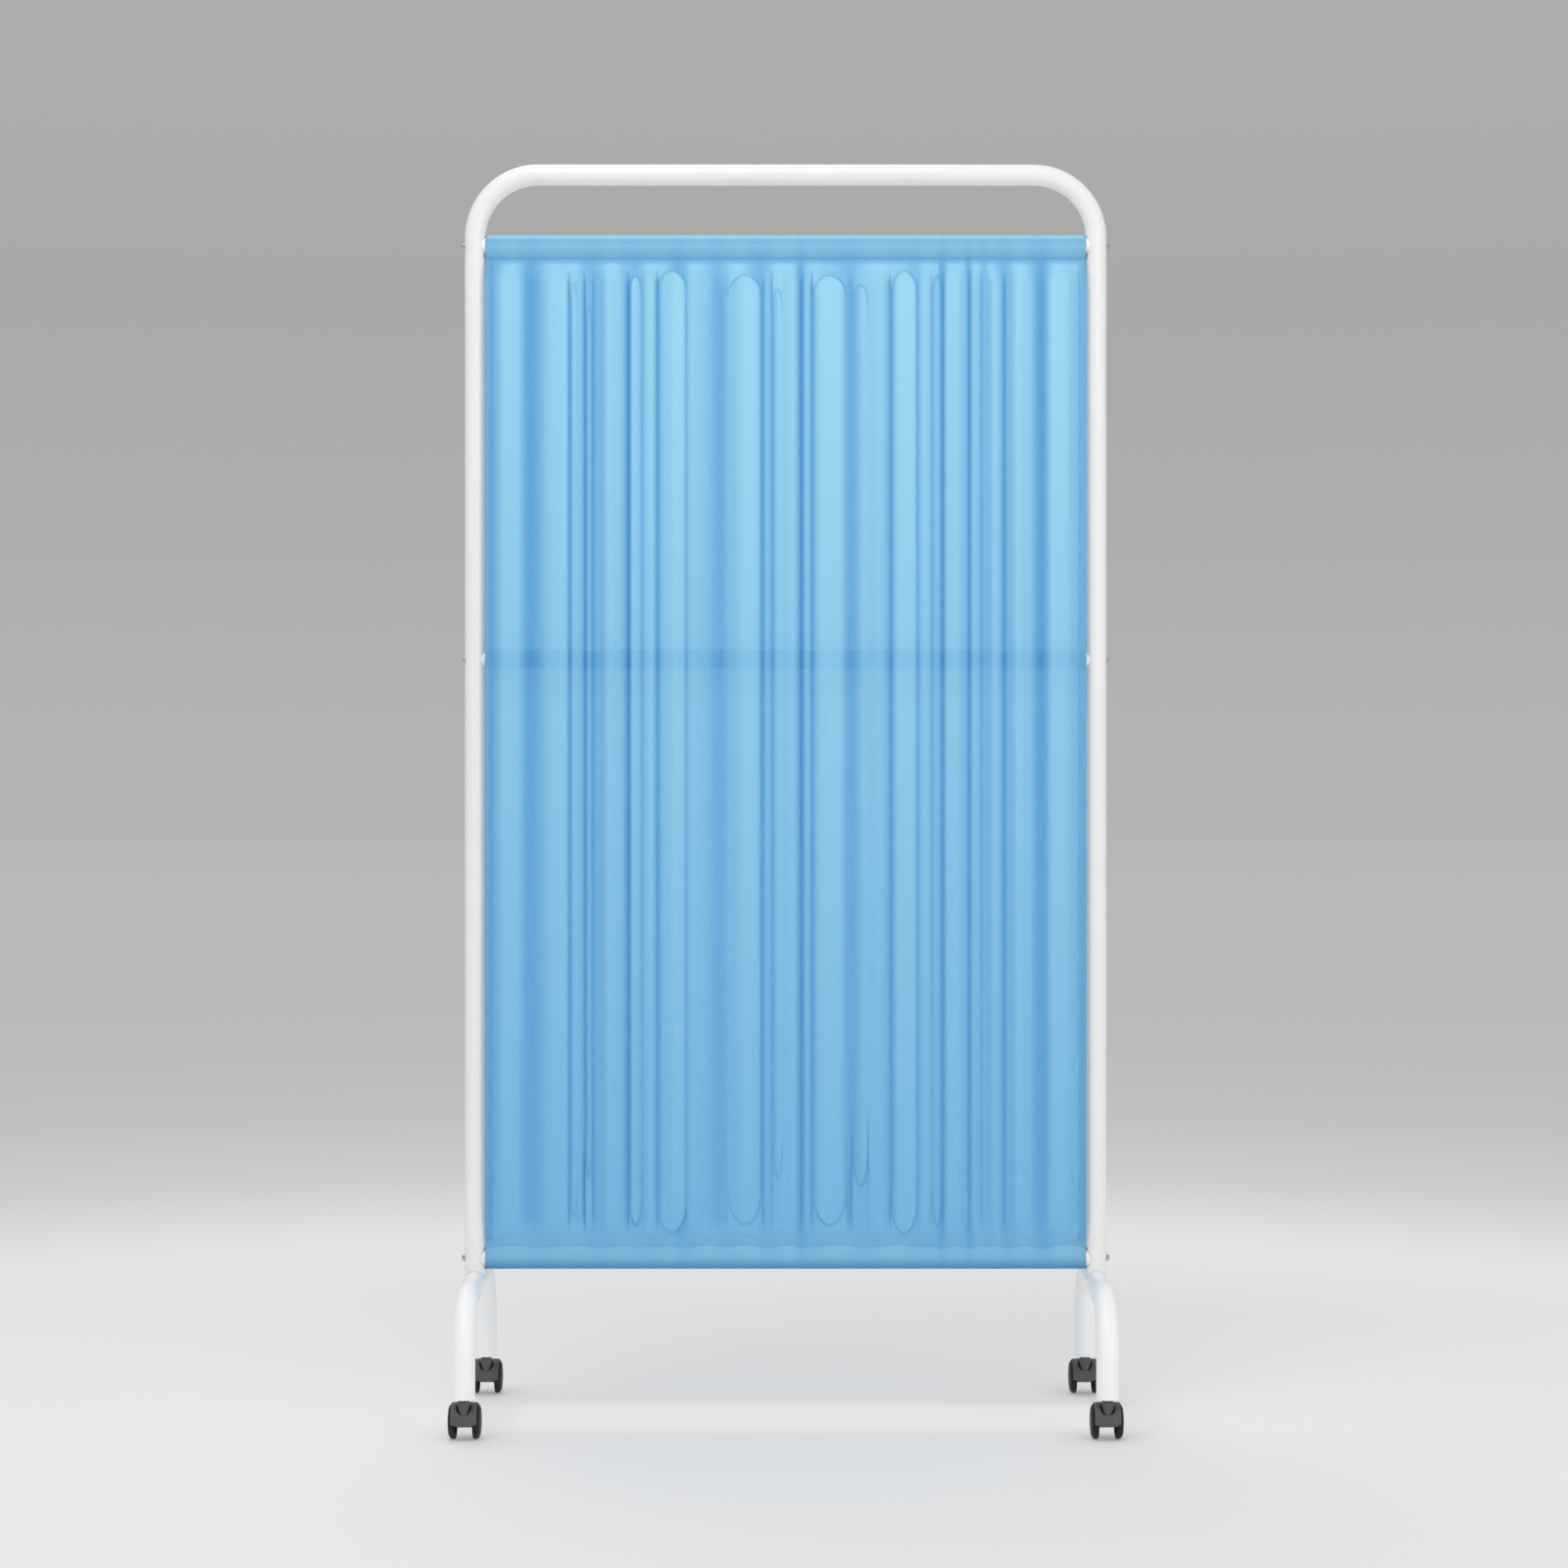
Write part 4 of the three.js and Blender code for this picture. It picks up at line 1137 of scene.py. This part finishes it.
def stitches(name, path):
    """Short flat prisms along a path of points, standing on the cloth's front."""
    path = path + TO_FRONT * THREAD_LIFT
    along = np.append(0, np.cumsum(np.linalg.norm(np.diff(path, axis=0), axis=1)))
    points, faces = [], []
    for start in np.arange(STITCH_PITCH, along[-1] - STITCH_PITCH, STITCH_PITCH):
        a, b = (np.array([np.interp(at, along, path[:, axis]) for axis in range(3)])
                for at in (start, start + STITCH_LENGTH))
        side = np.cross((b - a) / (np.linalg.norm(b - a) + TINY), TO_FRONT)
        side *= STITCH_HALF / (np.linalg.norm(side) + TINY)
        crest = side * STITCH_CREST
        middle = (a + b) / 2 + TO_FRONT * STITCH_RISE
        base = len(points)
        points += [a - side, a + side, b - side, b + side, middle - crest, middle + crest]
        faces += [tuple(base + i for i in face) for face in
                  ((0, 1, 5, 4), (4, 5, 3, 2), (0, 4, 2), (1, 3, 5), (0, 2, 3, 1))]
    made = new_object(name, points, faces, THREAD, sharp=None)
    return place(made, "screen", "blue_cloth")


sheet, grid, flat_width, flat_length = curtain()
top_row = len(FLAP_ROWS) + ALL_POCKET_ROWS
low_row = len(grid) - 1 - top_row
between_seams = grid[top_row:low_row + 1]
seams = {"header": grid[top_row], "hem": grid[low_row], "side_left": between_seams[:, SIDE_STITCHES],
         "side_right": between_seams[:, -1 - SIDE_STITCHES]}
threads = [stitches(f"stitches_{name}", path) for name, path in seams.items()]


# Stage: a large pale floor, a grey backdrop made by the world, and soft lamps

def ramp(tree, factor, stops):
    """A colour ramp; each stop is (place, display grey)."""
    node = add_node(tree, "ValToRGB", Fac=factor)
    elements = node.color_ramp.elements
    while len(elements) > 1:
        elements.remove(elements[-1])
    for number, (where, grey) in enumerate(stops):
        element = elements[0] if number == 0 else elements.new(where)
        element.position = where
        element.color = (*[display(grey)] * 3, 1)
    return node.outputs["Color"]


def display(grey):
    """The linear value of a display grey from 0 to 255."""
    value = grey / 255
    return value / 12.92 if value <= 0.04045 else ((value + 0.055) / 1.055) ** 2.4


def seen_directly(tree):
    """One for rays from the camera, and for those that mirrors and clear things pass on."""
    path = add_node(tree, "LightPath")
    total = path.outputs["Is Camera Ray"]
    for kind in ("Is Glossy Ray", "Is Transmission Ray"):
        total = calculated(tree, "ADD", total, path.outputs[kind], clamp=True)
    return total


AMBIENT = 0.71
# The backdrop's greys by their elevation in degrees
BACKDROP_STOPS = ((0.0, 181), (2.2, 177), (4.0, 173), (5.9, 171), (7.7, 168.5), (9.4, 171), (11.4, 173))
BACKDROP_SPAN = 20.0


def backdrop():
    world = bpy.data.worlds.new("studio")
    bpy.context.scene.world = world
    world.use_nodes = True
    tree = world.node_tree
    tree.nodes.clear()
    output = add_node(tree, "OutputWorld")
    direction = add_node(tree, "TexCoord").outputs["Generated"]
    height = add_node(tree, "SeparateXYZ", Vector=direction).outputs["Z"]
    share = between(tree, calculated(tree, "ARCSINE", height), 0, 1, 0, math.radians(BACKDROP_SPAN))
    greys = ramp(tree, share, [(elevation / BACKDROP_SPAN, grey) for elevation, grey in BACKDROP_STOPS])
    light = add_node(tree, "Background", Color=(1, 1, 1, 1), Strength=AMBIENT)
    show_mixed(tree, output, seen_directly(tree), light, add_node(tree, "Background", Color=greys))


FLOOR_RADIUS = 60.0
FLOOR_SIDES = 96
FLOOR_ROUGHNESS, FLOOR_GLOSS = 0.6, 0.1
# The floor's greys by their distance in metres, near the object those of its painted glow; they take over
# across the blend
FLOOR_STOPS = ((0.0, 230), (2.05, 229), (3.2, 205), (4.65, 193), (6.8, 188), (10, 185), (28, 184), (58, 181))
FLOOR_BLEND = (1.3, 2.3)
# Share of the near floor seen as a painted glow, which lightens the shadows on it
FLOOR_PAINTED_GLOW = 0.30
# The floor's colour for the light it passes on, and a darker one that is seen directly
FLOOR_LIT = (0.915, 0.904, 0.890)
FLOOR_SEEN = (0.838, 0.818, 0.806)


def floor():
    """A wide disc: a real pale surface near the object with a painted glow over it that lightens its
    shadows, greys by distance beyond it.
    """
    points = [(FLOOR_RADIUS / MM * math.cos(a), FLOOR_RADIUS / MM * math.sin(a), 0)
              for a in np.arange(FLOOR_SIDES) * 2 * math.pi / FLOOR_SIDES]
    material, tree, output = node_tree("studio_floor")
    made = new_object("studio_floor", points, [tuple(range(FLOOR_SIDES))], material, sharp=None)
    where = add_node(tree, "NewGeometry").outputs["Position"]
    length = add_node(tree, "VectorMath", Vector=where)
    length.operation = "LENGTH"
    distance = length.outputs["Value"]
    seen = seen_directly(tree)
    near = surface(tree, FLOOR_LIT, FLOOR_ROUGHNESS, Specular_IOR_Level=FLOOR_GLOSS)
    tree.links.new(blended(tree, seen, FLOOR_LIT, FLOOR_SEEN), near.inputs["Base Color"])
    share = between(tree, distance, 0, 1, 0, FLOOR_RADIUS)
    greys = ramp(tree, share, [(reach / FLOOR_RADIUS, grey) for reach, grey in FLOOR_STOPS])
    painted_glow = calculated(tree, "MULTIPLY", between(tree, distance, FLOOR_PAINTED_GLOW, 1, *FLOOR_BLEND), seen)
    show_mixed(tree, output, painted_glow, near, add_node(tree, "Emission", Color=greys))


LAMP_AIM = (0, 0, 0.7)


def lamp(name, spot, size, power):
    data = bpy.data.lights.new(name, "AREA")
    data.shape = "RECTANGLE"
    data.size, data.size_y = size
    data.energy = power
    made = add_object(name, data)
    made.location = spot
    made.rotation_euler = (Vector(LAMP_AIM) - Vector(spot)).to_track_quat("-Z", "Y").to_euler()


CAMERA_LENS = 82.9
CAMERA_SENSOR = 36.0
CAMERA_SPOT = (-0.0024, -5.204, 0.910)
LEVEL_AHEAD = (math.pi / 2, 0, 0)


def camera():
    data = bpy.data.cameras.new("camera")
    data.lens = CAMERA_LENS
    data.sensor_width = CAMERA_SENSOR
    made = add_object("camera", data)
    made.location = CAMERA_SPOT
    made.rotation_euler = LEVEL_AHEAD
    bpy.context.scene.camera = made


backdrop()
floor()
lamp("front", (-0.7, -2.2, 4.3), (2.2, 0.9), 46.0)
lamp("rear", (-0.7, 2.2, 4.3), (2.2, 0.9), 33.0)
lamp("fill", (2.4, -3.9, 1.9), (2.0, 2.0), 30.0)
camera()
bpy.context.scene.view_settings.view_transform = "Standard"
